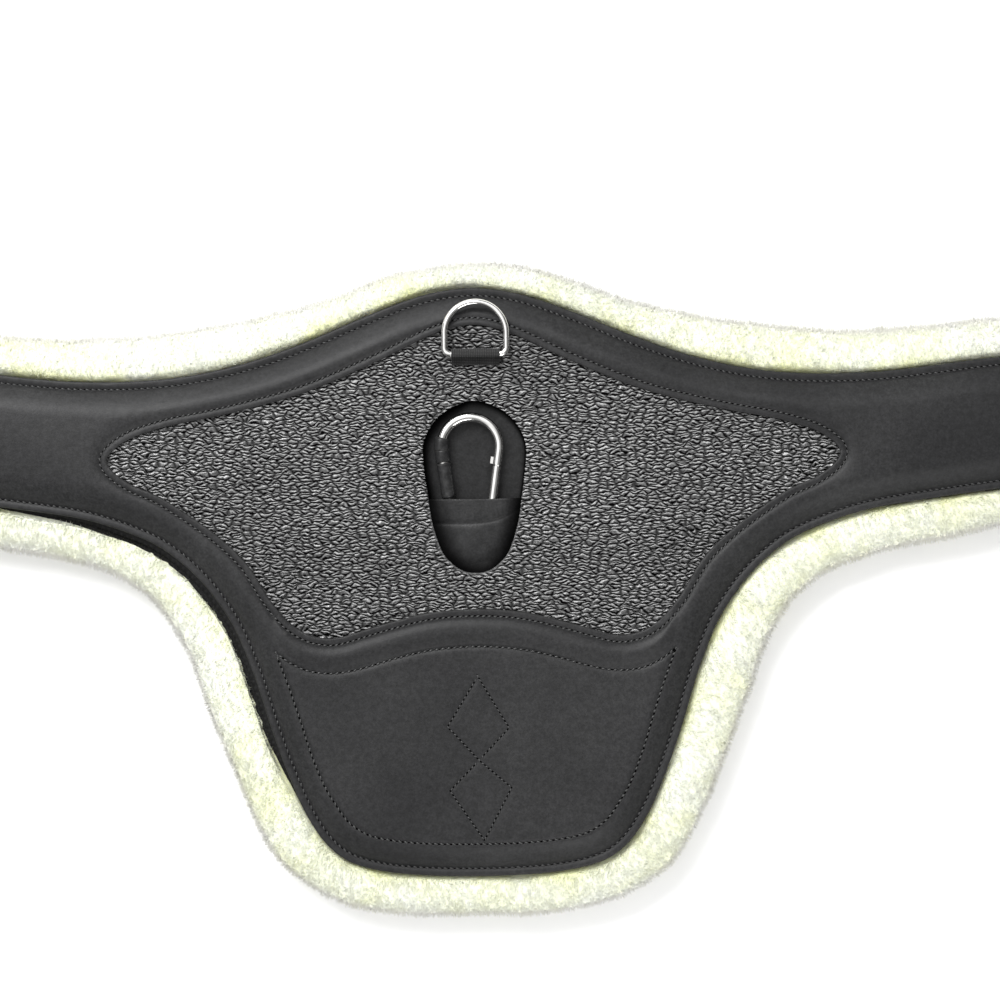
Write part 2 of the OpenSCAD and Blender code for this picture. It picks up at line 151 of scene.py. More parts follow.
def cad_box(name):
    lo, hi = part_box(NODES[name]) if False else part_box(name)
    return np.array(lo) / MM, np.array(hi) / MM


def joint(name):
    return next(j for j in frame["joints"] if j["name"] == name)


def joint_place(name):
    return np.array(joint(name)["pos_m"]) / MM


def open_edges(faces):
    """Edges that only one face uses, in that face's direction."""
    used = {}
    for face in faces:
        for a, b in zip(face, face[1:] + face[:1]):
            if a != b:
                if (b, a) in used:
                    del used[(b, a)]
                else:
                    used[(a, b)] = True
    return list(used)


def flat_loops(name, z):
    """Closed outlines of a CAD piece's flat faces at height z, longest first."""
    mesh = NODES[name].data
    places = {}
    index = [places.setdefault(tuple(p), len(places)) for p in np.round(mesh_points(mesh), 3)]
    points = np.array(list(places))
    faces = [[index[k] for k in poly.vertices] for poly in mesh.polygons]
    flat = [f for f in faces if all(abs(points[k][2] - z) < 0.02 for k in f)]
    following = {}
    for a, b in open_edges(flat):
        following.setdefault(a, []).append(b)
    loops = []
    while following:
        here = next(iter(following))
        loop = [here]
        while following.get(here):
            ways = following[here]
            ahead = ways.pop()
            if not ways:
                following.pop(here)
            if ahead == loop[0]:
                break
            loop.append(ahead)
            here = ahead
        if len(loop) > 2:
            loops.append(points[loop][:, :2])
    loops.sort(key=lambda q: -np.abs(np.diff(close(q), axis=0)).sum())
    return loops


# ------------------------------------------------------------------ curves
def close(points):
    return np.vstack([points, points[:1]])


def even(points, closed, step):
    """Resamples a path evenly; a closed path comes with its first point repeated at its end."""
    s = np.concatenate([[0], np.cumsum(norm(np.diff(points, axis=0), axis=1))])
    count = max(int(round(s[-1] / step)), 4)
    places = np.linspace(0, s[-1], count + 1)
    if closed:
        places = places[:-1]
    return np.column_stack([np.interp(places, s, points[:, k]) for k in range(points.shape[1])])


def smooth_path(points, closed, step):
    """A centripetal Catmull-Rom curve through the points, resampled evenly."""
    points = np.asarray(points, float)
    count = len(points)
    pieces = []

    def blend(first, last, lo, hi):
        return (hi - t) / (hi - lo) * first + (t - lo) / (hi - lo) * last

    for i in range(count if closed else count - 1):
        start, end = points[i], points[(i + 1) % count]
        if closed:
            before, after = points[i - 1], points[(i + 2) % count]
        else:
            before = points[i - 1] if i else 2 * start - end
            after = points[i + 2] if i + 2 < count else 2 * end - start
        t1 = max(norm(start - before) ** 0.5, 1e-6)
        t2 = t1 + max(norm(end - start) ** 0.5, 1e-6)
        t3 = t2 + max(norm(after - end) ** 0.5, 1e-6)
        t = np.linspace(t1, t2, 10, endpoint=False)[:, None]
        low, mid, high = blend(before, start, 0, t1), blend(start, end, t1, t2), blend(end, after, t2, t3)
        pieces.append(blend(blend(low, mid, 0, t2), blend(mid, high, t1, t3), t1, t2))
    pieces.append(pieces[0][:1] if closed else points[-1:])
    return even(np.vstack(pieces), closed, step)


class Curve:
    """A plane curve with a quick distance, which is signed and positive outside if closed."""

    def __init__(self, points, closed=True, step=0.5):
        points = np.asarray(points, float)
        if closed:
            ahead = np.roll(points, -1, axis=0)
            if (points[:, 0] * ahead[:, 1] - ahead[:, 0] * points[:, 1]).sum() < 0:
                points = points[::-1]
            self.points = even(close(points), True, step)
            tangents = np.roll(self.points, -1, axis=0) - np.roll(self.points, 1, axis=0)
        else:
            self.points = even(points, False, step)
            tangents = np.gradient(self.points, axis=0)
        self.closed = closed
        self.step = step
        self.tangents = unit(tangents)
        self.normals = np.column_stack([self.tangents[:, 1], -self.tangents[:, 0]])
        self.length = norm(np.diff(self.points, axis=0), axis=1).sum()
        if closed:
            self.length += norm(self.points[0] - self.points[-1])
        self.tree = kdtree.KDTree(len(self.points))
        for i, (x, y) in enumerate(self.points):
            self.tree.insert((x, y, 0), i)
        self.tree.balance()

    def dist(self, places):
        places = np.asarray(places, float)[:, :2]
        i = np.array([self.tree.find((x, y, 0))[1] for x, y in places], int)
        away = places - self.points[i]
        far = norm(away, axis=1)
        if not self.closed:
            return far
        along = (away * self.normals[i]).sum(1)
        return np.where(far < 2.5 * self.step + 1, along, np.sign(along) * far)

    def offset(self, d, step=None):
        skip = max(1, int(round((step or self.step) / self.step)))
        return (self.points + self.normals * d)[::skip]

    def frames(self, pitch):
        """Evenly spaced points with their tangents."""
        count = max(int(round(self.length / pitch)), 2)
        size = len(self.points)
        places = np.arange(count) * (size / count if self.closed else (size - 1) / (count - 1))
        i = np.floor(places).astype(int) % size
        j = (i + 1) % size if self.closed else np.minimum(i + 1, size - 1)
        part = (places - np.floor(places))[:, None]
        return self.points[i] * (1 - part) + self.points[j] * part, self.tangents[i]


def smooth_loop(points, step=0.5):
    return Curve(smooth_path(points, True, step), step=step)


def smooth_line(points):
    return Curve(smooth_path(points, False, 0.5), closed=False)


def straight_line(points):
    return Curve(even(np.array(points, float), False, 0.5), closed=False)


def polygon(points):
    return straight_line([*points, points[0]])


def mirror_line(half):
    """A line across the girth, from its half on the right: the first point lies on x = 0."""
    half = np.asarray(half, float)
    return smooth_line(np.vstack([half[:0:-1] * [-1, 1], half]))


# ------------------------------------------------------------------ meshes
def face_outwards(ob):
    work = bmesh.new()
    work.from_mesh(ob.data)
    bmesh.ops.recalc_face_normals(work, faces=work.faces)
    work.to_mesh(ob.data)
    work.free()


def make(name, shape, material, slot, body=None, replaces=(), outward=False):
    """An object from (vertices in mm, faces)."""
    verts, faces = shape
    mesh = bpy.data.meshes.new(name)
    verts = (np.asarray(verts, float) * MM).tolist()
    mesh.from_pydata(verts, [], [tuple(int(k) for k in f) for f in faces])
    mesh.validate()
    mesh.polygons.foreach_set("use_smooth", np.ones(len(mesh.polygons), bool))
    mesh.materials.append(material)
    mesh.update()
    ob = bpy.data.objects.new(name, mesh)
    bpy.context.scene.collection.objects.link(ob)
    if body:
        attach(ob, body)
    if replaces:
        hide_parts(*replaces)
    if outward:
        face_outwards(ob)
    return ob


def mark(ob, name, values):
    """Stores a number for each vertex, which the material reads."""
    layer = ob.data.attributes.new(name, "FLOAT", "POINT")
    layer.data.foreach_set("value", values.astype(np.float32))


def plan(ob):
    return mesh_points(ob.data)[:, :2]


def joined(shapes):
    """Several (vertices, faces) shapes as one."""
    verts, faces, start = [], [], 0
    for points, polys in shapes:
        verts.append(points)
        faces.extend(tuple(i + start for i in face) for face in polys)
        start += len(points)
    return np.vstack(verts), faces


def within(points, outer, hole, gap=0.0):
    """Which points are inside outer and outside hole by more than gap."""
    ok = outer.dist(points) < -gap
    if hole:
        ok &= hole.dist(points) > gap
    return ok


def triangulate(points, edges, outer, hole=None):
    """Delaunay triangles between the outlines, with the given edges kept."""
    places, _, tris, _, _, _ = delaunay_2d_cdt([Vector(p) for p in points.tolist()], edges, [], 0, 1e-7)
    places = np.array([tuple(p) for p in places])
    tris = np.array([tuple(t) for t in tris if len(t) == 3], int)
    tris = tris[within(places[tris].mean(1), outer, hole)]
    a, b, c = places[tris[:, 0]], places[tris[:, 1]], places[tris[:, 2]]
    area = (b[:, 0] - a[:, 0]) * (c[:, 1] - a[:, 1]) - (c[:, 0] - a[:, 0]) * (b[:, 1] - a[:, 1])
    tris[area < 0] = tris[area < 0][:, ::-1]
    tris = tris[np.abs(area) > 1e-6]
    used = np.unique(tris)
    renumber = -np.ones(len(places), int)
    renumber[used] = np.arange(len(used))
    return places[used], renumber[tris]


def hex_grid(lo, hi, size):
    rows = np.arange(lo[1], hi[1], size * 0.866)
    x, y = np.meshgrid(np.arange(lo[0], hi[0], size), rows)
    x = x + (np.arange(len(rows)) % 2)[:, None] * size / 2
    return np.column_stack([x.ravel(), y.ravel()])


def sheet_points(outer, rings, grid, hole=None, hole_rings=(), lines=(), step=2.2):
    """Points and boundary edges of a sheet, with a point every step along its outlines.

    Rings follow each outline at these distances, more points follow the lines, and a
    grid of the given size fills the rest."""
    rims, edges, count = [], [], 0
    for curve in [outer, hole] if hole else [outer]:
        rim = even(close(curve.points), True, step)
        size = len(rim)
        edges += [(count + i, count + (i + 1) % size) for i in range(size)]
        count += size
        rims.append(rim)
    free = []
    for curve, side, distances in ((outer, -1, rings), (hole, 1, hole_rings)):
        for d in distances:
            ring = curve.offset(side * d, step)
            free.append(ring[np.abs(curve.dist(ring) - side * d) < 0.12 + 0.02 * d])
    for line in lines:
        free += [line.offset(d, step * 0.8) for d in (-1.5, -0.75, 0, 0.75, 1.5)]
    cells = hex_grid(outer.points.min(0), outer.points.max(0), grid)
    cells = cells[outer.dist(cells) < -(max(rings) + grid * 0.45)]
    if hole:
        cells = cells[hole.dist(cells) > max(hole_rings) + grid * 0.45]
    for line in lines:
        cells = cells[line.dist(cells) > 1.5 + grid * 0.4]
    free = np.vstack([*free, cells])
    free = free[within(free, outer, hole, gap=0.05)]
    # drop points that crowd one another
    _, first = np.unique(np.round(free / 0.45).astype(int), axis=0, return_index=True)
    return np.vstack([*rims, free[np.sort(first)]]), edges


def sheet(outer, rings, grid, hole=None, **rest):
    """Points and triangles of a sheet."""
    points, edges = sheet_points(outer, rings, grid, hole, **rest)
    return triangulate(points, edges, outer, hole)


def solid_between(upper, upper_tris, top, lower, lower_tris, bottom, below):
    """A closed solid between two sheets; below(i) is the lower point under rim point i."""
    n = len(upper)
    bottom = np.broadcast_to(bottom, len(lower))
    verts = np.vstack([np.column_stack([upper, top]), np.column_stack([lower, bottom])])
    faces = [tuple(t) for t in upper_tris] + [(a + n, c + n, b + n) for a, b, c in lower_tris]
    faces += [(b, a, below(a) + n, below(b) + n) for a, b in open_edges(upper_tris.tolist())]
    return verts, faces


def closed_sheet(points, tris, top, bottom):
    return solid_between(points, tris, top, points, tris, bottom, lambda i: i)


# ------------------------------------------------------------------ shader nodes
def rgba(color):
    """A colour with its alpha; a single number is a gray, and a socket stays as it is."""
    if isinstance(color, bpy.types.NodeSocket):
        return color
    return (*color, 1) if isinstance(color, tuple) else (color, color, color, 1)


def plug(socket, value):
    """Links a socket or sets its value."""
    if isinstance(value, bpy.types.NodeSocket):
        socket.id_data.links.new(value, socket)
    else:
        socket.default_value = value


def fill(node, *inputs, **values):
    """Sets a node's inputs, by name with _ for a space or by place, and its settings."""
    for key, value in values.items():
        name = key.replace("_", " ")
        if name in node.inputs.keys():
            plug(node.inputs[name], value)
        else:
            setattr(node, key, value)
    for socket, value in zip(node.inputs, inputs):
        plug(socket, value)
    return node


class Shader:
    """The node tree of a material or world; its methods add nodes and return their output."""

    def __init__(self, owner):
        self.owner = owner
        owner.use_nodes = True
        self.tree = owner.node_tree

    def add(self, kind, *inputs, **values):
        return fill(self.tree.nodes.new("ShaderNode" + kind), *inputs, **values)

    def surface(self, **values):
        fill(self.tree.nodes["Principled BSDF"], **values)
        return self.owner

    def math(self, operation, *inputs):
        return self.add("Math", *inputs, operation=operation).outputs[0]

    def vector(self, operation, *inputs, **values):
        return self.add("VectorMath", *inputs, operation=operation, **values).outputs[0]

    def noise(self, place, scale, detail=2.0, **more):
        made = self.add("TexNoise", Vector=place, Scale=scale, Detail=detail, **more)
        return made.outputs["Fac"]

    def voronoi(self, place, scale, **settings):
        made = self.add("TexVoronoi", Scale=scale, Vector=place, **settings)
        return made.outputs["Distance"]

    def attribute(self, name):
        return self.add("Attribute", attribute_name=name).outputs["Fac"]

    def mix(self, factor, first, second, blend_type="MIX"):
        made = self.add("Mix", factor, data_type="RGBA", blend_type=blend_type)
        plug(made.inputs[6], rgba(first))
        plug(made.inputs[7], rgba(second))
        return made.outputs[2]

    def ramp(self, value, *stops):
        """Each stop is (position, colour or gray)."""
        made = self.add("ValToRGB", Fac=value)
        elements = made.color_ramp.elements
        while len(elements) < len(stops):
            elements.new(0.5)
        for element, (position, color) in zip(elements, stops):
            element.position = position
            element.color = rgba(color)
        return made.outputs["Color"]

    def remap(self, value, between, to):
        ends = dict(From_Min=between[0], From_Max=between[1], To_Min=to[0], To_Max=to[1])
        return self.add("MapRange", Value=value, **ends).outputs["Result"]

    def bump(self, height, distance, strength, **under):
        made = self.add("Bump", Distance=distance, Strength=strength, Height=height, **under)
        return made.outputs["Normal"]

    def coords(self, scale=(1, 1, 1), warp=0.0, warp_scale=100.0):
        """Object coordinates, scaled, and shifted by up to half of warp first."""
        place = self.add("TexCoord").outputs["Object"]
        if warp:
            drift = self.add("TexNoise", Vector=place, Scale=warp_scale, Detail=2.0)
            shift = self.vector("SUBTRACT", drift.outputs["Color"], (0.5, 0.5, 0.5))
            shift = self.vector("SCALE", shift, Scale=warp)
            place = self.vector("ADD", place, shift)
        return self.add("Mapping", Scale=scale, Vector=place).outputs["Vector"]


def start_material(name, color, roughness, metallic=0.0, specular=0.5, sheen=0.0):
    material = bpy.data.materials.new(name)
    shader = Shader(material)
    shader.surface(
        Base_Color=rgba(color),
        Roughness=roughness,
        Metallic=metallic,
        Specular_IOR_Level=specular,
        Sheen_Weight=sheen,
    )
    material.diffuse_color = rgba(color)
    return shader


# ------------------------------------------------------------------ materials
def smooth_leather(name, tone=0.019, rough=(0.42, 0.54), wear_and_highlight=True, specular=0.27, deep=False):
    """Black leather, paler on its raised edges when asked, partly worn and partly a painted highlight,
    and darker and duller where the deep attribute is 1, as painted shade.
    """
    shader = start_material(name, tone, roughness=0.5, specular=specular)
    place = shader.coords()
    broad = shader.noise(place, scale=14.0, detail=3.0)
    fine = shader.noise(place, scale=700.0, detail=4.0, Roughness=0.6)
    pores = shader.voronoi(place, scale=1500.0, feature="DISTANCE_TO_EDGE")
    color = shader.mix(
        shader.remap(broad, between=(0.3, 0.7), to=(0, 1)),
        (tone * 0.78, tone * 0.78, tone * 0.82),
        (tone * 1.30, tone * 1.30, tone * 1.33),
    )
    middle = shader.noise(place, scale=300.0, detail=3.0, Roughness=0.65)
    mottle = shader.ramp(middle, (0.36, 0.80), (0.64, 1.22))
    color = shader.mix(1.0, color, mottle, blend_type="MULTIPLY")
    specks = shader.ramp(fine, (0.35, 0.60), (0.65, 1.40))
    color = shader.mix(0.5, color, specks, blend_type="MULTIPLY")
    # raised edges painted paler: partly worn, partly a painted highlight
    if wear_and_highlight:
        raised = shader.add("NewGeometry").outputs["Pointiness"]
        raised = shader.remap(raised, between=(0.53, 0.60), to=(0, 0.5))
        color = shader.mix(raised, color, (tone * 2.6, tone * 2.55, tone * 2.5))
    # painted shade: darker and duller where the deep attribute is 1
    if deep:
        depth = shader.attribute("deep")
        color = shader.mix(depth, color, tone * 0.08)
        dull = shader.remap(depth, between=(0, 1), to=(specular, specular * 0.06))
        shader.surface(Specular_IOR_Level=dull)
    normal = shader.bump(pores, distance=0.00006, strength=0.35)
    normal = shader.bump(fine, distance=0.00020, strength=0.6, Normal=normal)
    normal = shader.bump(middle, distance=0.00010, strength=0.5, Normal=normal)
    roughness = shader.remap(fine, between=(0.3, 0.7), to=rough)
    return shader.surface(Base_Color=color, Roughness=roughness, Normal=normal)


def grained_leather(name, tone=0.050):
    """Pebbled leather: flat pebbles about three times as long as high, with painted shade in the creases
    and painted highlights on the pebbles.
    """
    shader = start_material(name, tone, roughness=0.4, specular=0.55)
    place = shader.coords(scale=(0.30, 0.84, 1), warp=0.0046, warp_scale=170.0)
    small_place = shader.coords(scale=(0.62, 1.0, 1), warp=0.0060, warp_scale=70.0)
    crease = dict(feature="DISTANCE_TO_EDGE", voronoi_dimensions="2D")
    pebble = shader.voronoi(place, scale=560.0, **crease)
    small = shader.voronoi(small_place, scale=900.0, **crease)
    fine = shader.noise(place, scale=900.0, detail=3.0)

    def times(first, second):
        return shader.math("MULTIPLY", first, second)

    tops = shader.remap(pebble, between=(0.02, 0.30), to=(0, 1))
    small_tops = shader.remap(small, between=(0.0, 0.12), to=(0.72, 1))
    folds = shader.remap(shader.attribute("pebble"), between=(0.0, 0.35), to=(0.45, 1))
    dome = shader.math("POWER", shader.remap(pebble, between=(0.0, 0.44), to=(0, 1)), 0.8)
    height = times(times(tops, small_tops), folds)
    height = times(height, shader.remap(fine, between=(0.25, 0.75), to=(0.55, 1.45)))
    # painted light: each pebble is paler along its upper edge, the side towards the key light, and darker
    # in the crease under it
    pebble_toward_light = shader.vector("ADD", place, (0, 0.00050, 0))
    pebble_toward_light = shader.voronoi(pebble_toward_light, scale=560.0, **crease)
    pebble_toward_light = shader.remap(pebble_toward_light, between=(0.02, 0.30), to=(0, 1))
    edge = shader.math("SUBTRACT", tops, pebble_toward_light)
    base = shader.remap(height, between=(0.0, 1.0), to=(0.19, 0.47))
    painted_light = shader.math("MULTIPLY_ADD", edge, 0.42, base)
    # the ramp paints shade into the creases and highlights onto the pebbles' tops
    color = shader.ramp(
        painted_light,
        (0.04, tone * 0.01),
        (0.16, tone * 0.20),
        (0.32, tone * 0.95),
        (0.50, tone * 2.2),
        (0.86, tone * 11.0),
    )
    broad = shader.noise(place, scale=18.0, detail=3.0)
    tint = shader.ramp(broad, (0.3, 0.8), (0.7, 1.25))
    color = shader.mix(1.0, color, tint, blend_type="MULTIPLY")
    # painted highlight along the recess's lower cut edge, where rim is 1
    color = shader.mix(shader.attribute("rim"), color, 0.13)
    normal = times(times(dome, small_tops), folds)
    normal = shader.bump(normal, distance=0.00085, strength=1.0)
    return shader.surface(
        Base_Color=color,
        Roughness=shader.remap(painted_light, between=(0.1, 0.6), to=(0.70, 0.24)),
        Specular_IOR_Level=shader.remap(painted_light, between=(0.06, 0.5), to=(0.02, 0.65)),
        Normal=shader.bump(fine, distance=0.00020, strength=0.6, Normal=normal),
    )


def wool(name):
    """Off-white wool, darker and yellower where near is 1, as painted shade against the leather, and
    greyer where outer is, as painted shade on the roll's outer flank.
    """
    shader = start_material(name, (0.95, 0.95, 0.85), roughness=0.95, specular=0.1, sheen=0.25)
    place = shader.coords()
    broad = shader.noise(place, scale=26.0, detail=3.0, Distortion=0.6)
    # painted shade: darker and yellower against the leather
    yellow = shader.math("MULTIPLY_ADD", shader.attribute("near"), -0.22, broad)
    color = shader.ramp(
        yellow,
        (0.14, (0.90, 0.93, 0.50)),
        (0.32, (0.935, 0.965, 0.67)),
        (0.46, (0.95, 0.98, 0.76)),
        (0.62, (0.96, 0.985, 0.84)),
    )
    fine = shader.noise(place, scale=420.0, detail=4.0, Roughness=0.7)
    # painted shade on the outer flank, greyer towards the outline
    color = shader.mix(shader.attribute("outer"), color, (0.74, 0.70, 0.66))
    shade = shader.ramp(fine, (0.35, 0.88), (0.60, 1.0))
    return shader.surface(
        Base_Color=shader.mix(0.5, color, shade, blend_type="MULTIPLY"),
        Sheen_Roughness=0.6,
        Subsurface_Weight=0.35,
        Subsurface_Radius=(1.0, 0.95, 0.8),
        Subsurface_Scale=0.004,
        Normal=shader.bump(fine, distance=0.0008, strength=0.5),
    )


def metal(name, color, roughness):
    shader = start_material(name, color, roughness, metallic=1.0)
    place = shader.coords()
    cloud = shader.noise(place, scale=260.0, detail=3.0)
    scratch = shader.noise(place, scale=1800.0)
    dark = tuple(c * 0.93 for c in color)
    bright = tuple(min(1, c * 1.05) for c in color)
    return shader.surface(
        Roughness=shader.remap(cloud, between=(0.3, 0.75), to=(roughness * 0.7, roughness * 2.0)),
        Base_Color=shader.ramp(cloud, (0.3, dark), (0.7, bright)),
        Normal=shader.bump(scratch, distance=0.00002, strength=0.25),
    )


def thread(name, tone, roughness, specular):
    shader = start_material(name, tone, roughness, specular=specular)
    fibre = shader.noise(shader.coords(), scale=3200.0)
    return shader.surface(
        Base_Color=shader.ramp(fibre, (0.35, tone * 0.6), (0.65, tone * 1.7)),
        Normal=shader.bump(fibre, distance=0.0001, strength=0.5),
    )


def woven(name, tone, rib, cross):
    """Woven tape: ribs along X spaced rib mm apart, cross threads cross mm apart; darker and duller where
    deep is 1, as painted shade.
    """
    shader = start_material(name, tone, roughness=0.7, specular=0.3, sheen=0.15)
    place = shader.coords()

    def wave(axis, size):
        made = shader.add(
            "TexWave",
            wave_type="BANDS",
            bands_direction=axis,
            wave_profile="SIN",
            Scale=2 * math.pi / (size * MM) / 20.0,
            Distortion=0.5,
            Detail=1.0,
            Detail_Scale=3.0,
            Vector=place,
        )
        return made.outputs["Fac"]

    weave = shader.math("MULTIPLY", wave("Y", rib), wave("X", cross))
    # painted shade where the deep attribute is 1
    depth = shader.attribute("deep")
    color = shader.ramp(weave, (0.0, tone * 0.25), (0.6, tone * 1.25), (1.0, tone * 2.4))
    return shader.surface(
        Base_Color=shader.mix(depth, color, 0.001),
        Specular_IOR_Level=shader.remap(depth, between=(0, 1), to=(0.3, 0.02)),
        Normal=shader.bump(weave, distance=0.00035, strength=0.9),
    )


def cellular(name, tone, size, middle=1.7, border=0.5, sheen=0.3, distance=0.0006, strength=0.9):
    """Cells of the given size in mm; middle and border multiply the tone."""
    shader = start_material(name, tone, roughness=0.9, specular=0.2, sheen=sheen)
    cell = shader.voronoi(shader.coords(), scale=1000.0 / size)
    return shader.surface(
        Base_Color=shader.ramp(cell, (0.1, tone * middle), (0.6, tone * border)),
        Normal=shader.bump(cell, distance=distance, strength=strength),
    )


LEATHER = smooth_leather("smooth_leather")
# darker and duller than the outer leather, as painted shade in the recess, with more painted shade by its
# wall where deep is 1
RECESS_LEATHER = smooth_leather(
    "recess_leather", tone=0.014, rough=(0.46, 0.58), wear_and_highlight=False, specular=0.20, deep=True
)
POCKET_LEATHER = smooth_leather(
    "pocket_leather", tone=0.015, rough=(0.32, 0.44), specular=0.30, deep=True
)
LINING = smooth_leather("lining_leather", tone=0.006, rough=(0.6, 0.75), wear_and_highlight=False)
GRAINED = grained_leather("grained_leather")
WOOL = wool("sheepskin")
THREAD = thread("stitch_thread", tone=0.040, roughness=0.34, specular=0.5)
# near-black slits: painted shade in the needle holes
SLIT_SHADE = thread("needle_slit_painted_shade", tone=0.0015, roughness=0.9, specular=0.02)
WEBBING = woven("ribbed_webbing", tone=0.035, rib=0.9, cross=1.1)
ELASTIC = woven("woven_elastic", tone=0.026, rib=1.6, cross=0.8)
BACKING = cellular("backing_cloth", tone=0.016, size=0.9)
LOOP_TAPE = cellular("loop_tape", tone=0.03, size=1.4)
HOOK_TAPE = cellular("hook_tape", tone=0.022, size=1.6)
FOAM = cellular(
    "closed_cell_foam", 0.10, size=1 / 0.9, middle=0.6, border=1.3, sheen=0.0,
    distance=0.0003, strength=0.6,
)
NICKEL = metal("polished_nickel", color=(0.90, 0.89, 0.87), roughness=0.12)
SPRING_WIRE = metal("spring_wire", color=(0.55, 0.55, 0.56), roughness=0.2)
STEEL = metal("stainless_steel", color=(0.44, 0.44, 0.45), roughness=0.18)


def dress_metal_parts():
    for name, ob in NODES.items():
        fittings = ("d_ring", "snap_hook", "gate_pin", "buckle")
        if any(word in name for word in fittings) and "loop" not in name:
            metal_used = STEEL if "buckle" in name else NICKEL
        elif "spring" in name or "plunger" in name:
            metal_used = SPRING_WIRE
        else:
            continue
        for slot in ob.material_slots:
            slot.material = metal_used
        ob.data.polygons.foreach_set("use_smooth", np.ones(len(ob.data.polygons), bool))


# ------------------------------------------------------------------ heights and outlines
def cad_box(name):
    """Low and high corners of a CAD piece."""
    lo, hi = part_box(name)
    return np.array(lo) / MM, np.array(hi) / MM


TOP_LO, TOP_HI = cad_box("top_leather")
Z_WEB = TOP_LO[2]
Z_INLAY, Z_GRAIN = (corner[2] for corner in cad_box("grain_inlay"))
Z_FOAM = cad_box("foam_core")[0][2]
Z_BACK, Z_BACK_TOP = (corner[2] for corner in cad_box("fleece_backing"))
Z_LINING, Z_LINING_TOP = (corner[2] for corner in cad_box("lining_leather"))
Z_FLOOR = cad_box("hook_pocket")[0][2]
Z_FACE = TOP_HI[2] - 2.0  # the face lies this far under the ridge
RIM_TOP = Z_WEB + 4.6
Z_RIM = RIM_TOP - 0.5

EDGE = smooth_loop(flat_loops("top_leather", RIM_TOP)[0])
RIDGE = smooth_loop(flat_loops("ridge_filler", cad_box("ridge_filler")[1][2])[0])
inlay_loops = flat_loops("grain_inlay", Z_GRAIN)
GRAIN_EDGE = smooth_loop(inlay_loops[0])
RECESS = smooth_loop(inlay_loops[1], step=0.4)
# the window in the smooth leather is the loop that reaches x = 227
WINDOW = smooth_loop(
    next(q for q in flat_loops("top_leather", Z_FACE) if abs(q[:, 0].max() - 227) < 6)
)
FLEECE = smooth_loop(flat_loops("fleece_pile", 3.0)[0])

RING = sum(cad_box("d_ring"))[:2] / 2
HOOK_LO, HOOK_HI = cad_box("snap_hook_body")
HOOK_Z = (HOOK_LO[2] + HOOK_HI[2]) / 2

# sewn lines, as (x, y) points; the first two are the right half of a symmetric line
ARCH = mirror_line([
    (0, -35.2), (28, -37.2), (50, -42), (71, -48), (84, -50.4),
    (95, -50.6), (106, -48.4), (116, -43.4), (124, -37.5),
])
PANEL = mirror_line([
    (0, -157.6), (30, -157), (52, -154.8), (68, -151), (80, -143), (88, -132),
    (95, -120), (102.5, -101), (109.5, -79), (116, -59), (120.5, -47), (124, -37.5),
])
UPPER_DIAMOND = polygon([(1, -53.6), (-18, -84.6), (1.2, -105.6), (20, -85.8)])
LOWER_DIAMOND = polygon([(1.2, -105.6), (-17, -124.4), (4, -155.4), (21.2, -122.8)])
RIM_SEW = 5.0  # from the edge
WINDOW_SEW = 4.4  # from the window
END_LINES = []
for side in (-1, 1):
    for inset in (25, 28.5):
        x = side * (TOP_HI[0] - inset)
        END_LINES.append(straight_line([(x, 74.5), (x, 141.5)]))
# sewn lines with the depth each pulls the leather down
SEAMS = [(ARCH, 1.0), (PANEL, 0.75), (UPPER_DIAMOND, 0.45), (LOWER_DIAMOND, 0.45)]
SEAMS += [(line, 0.5) for line in END_LINES]


# ------------------------------------------------------------------ smooth leather and padding
def leather_z(points):
    """Height of the smooth leather's upper face."""
    points = np.asarray(points, float)
    from_edge = -EDGE.dist(points)
    from_window = WINDOW.dist(points)
    from_ring = norm(points - RING, axis=1)
    plateau = Z_FACE - 0.05 + 1.4 * ease((from_ring - 24) / 30)
    plateau = plateau + 0.35 * noise(points, 70, 3) * ease(from_ring / 60)
    plateau = plateau + 0.12 * noise(points, 24, 5)
    rim = Z_RIM + 0.10 * noise(points, 18, 8)
    lip = Z_GRAIN + 1.45
    to_rim = (plateau - rim) * (1 - crown((from_edge - RIM_SEW) / 19.0))
    to_lip = (plateau - lip) * (1 - crown((from_window - WINDOW_SEW) / 9.0))
    z = np.maximum(plateau - to_rim - to_lip, rim)
    z = z + 2.0 * crown((2.2 - RIDGE.dist(points)) / 9.5)
    z = z - 0.95 * bell(from_edge - RIM_SEW, 1.15) - 0.8 * bell(from_window - WINDOW_SEW, 1.05)
    for line, depth in SEAMS:
        z = z - depth * bell(line.dist(points), 1.0)
    return z - round_off(from_edge, 1.3, drop=1.3) - round_off(from_window, 0.8, drop=0.8)


def build_leather():
    ridge_lines = [Curve(RIDGE.offset(d), step=1.0) for d in (2.4, -0.6, -3.6)]
    points, tris = sheet(
        EDGE,
        rings=[0.12, 0.4, 0.8, 1.3, 2.4, 3.6, 4.3, 5.0, 5.7, 6.6, 8, 10, 12.5, 15.5, 19, 23],
        grid=2.8,
        hole=WINDOW,
        hole_rings=[0.12, 0.45, 0.8, 1.8, 3.0, 3.7, 4.4, 5.1, 6.0, 7.5, 9.5, 12, 15],
        lines=[line for line, _ in SEAMS] + ridge_lines,
    )
    top = leather_z(points)
    from_edge, from_window = -EDGE.dist(points), WINDOW.dist(points)
    # thin over the padding, while the pressed rim reaches down to the lining
    thin = top - 1.9
    at_end = np.abs(points[:, 0]) > TOP_HI[0] - 32
    foot = np.where(at_end, Z_WEB + 1.9, Z_WEB + 0.05)
    bottom = np.minimum(thin, foot + np.maximum(from_edge - 9.5, 0) * 3.0)
    lip = np.maximum(np.minimum(top - 1.2, Z_GRAIN + 0.1), bottom)
    bottom = np.minimum(np.where(from_window < 9, lip, bottom), top - 0.4)
    shape = closed_sheet(points, tris, top, bottom)
    make("smooth_leather_body", shape, LEATHER, "smooth_leather", "girth", ("top_leather",))


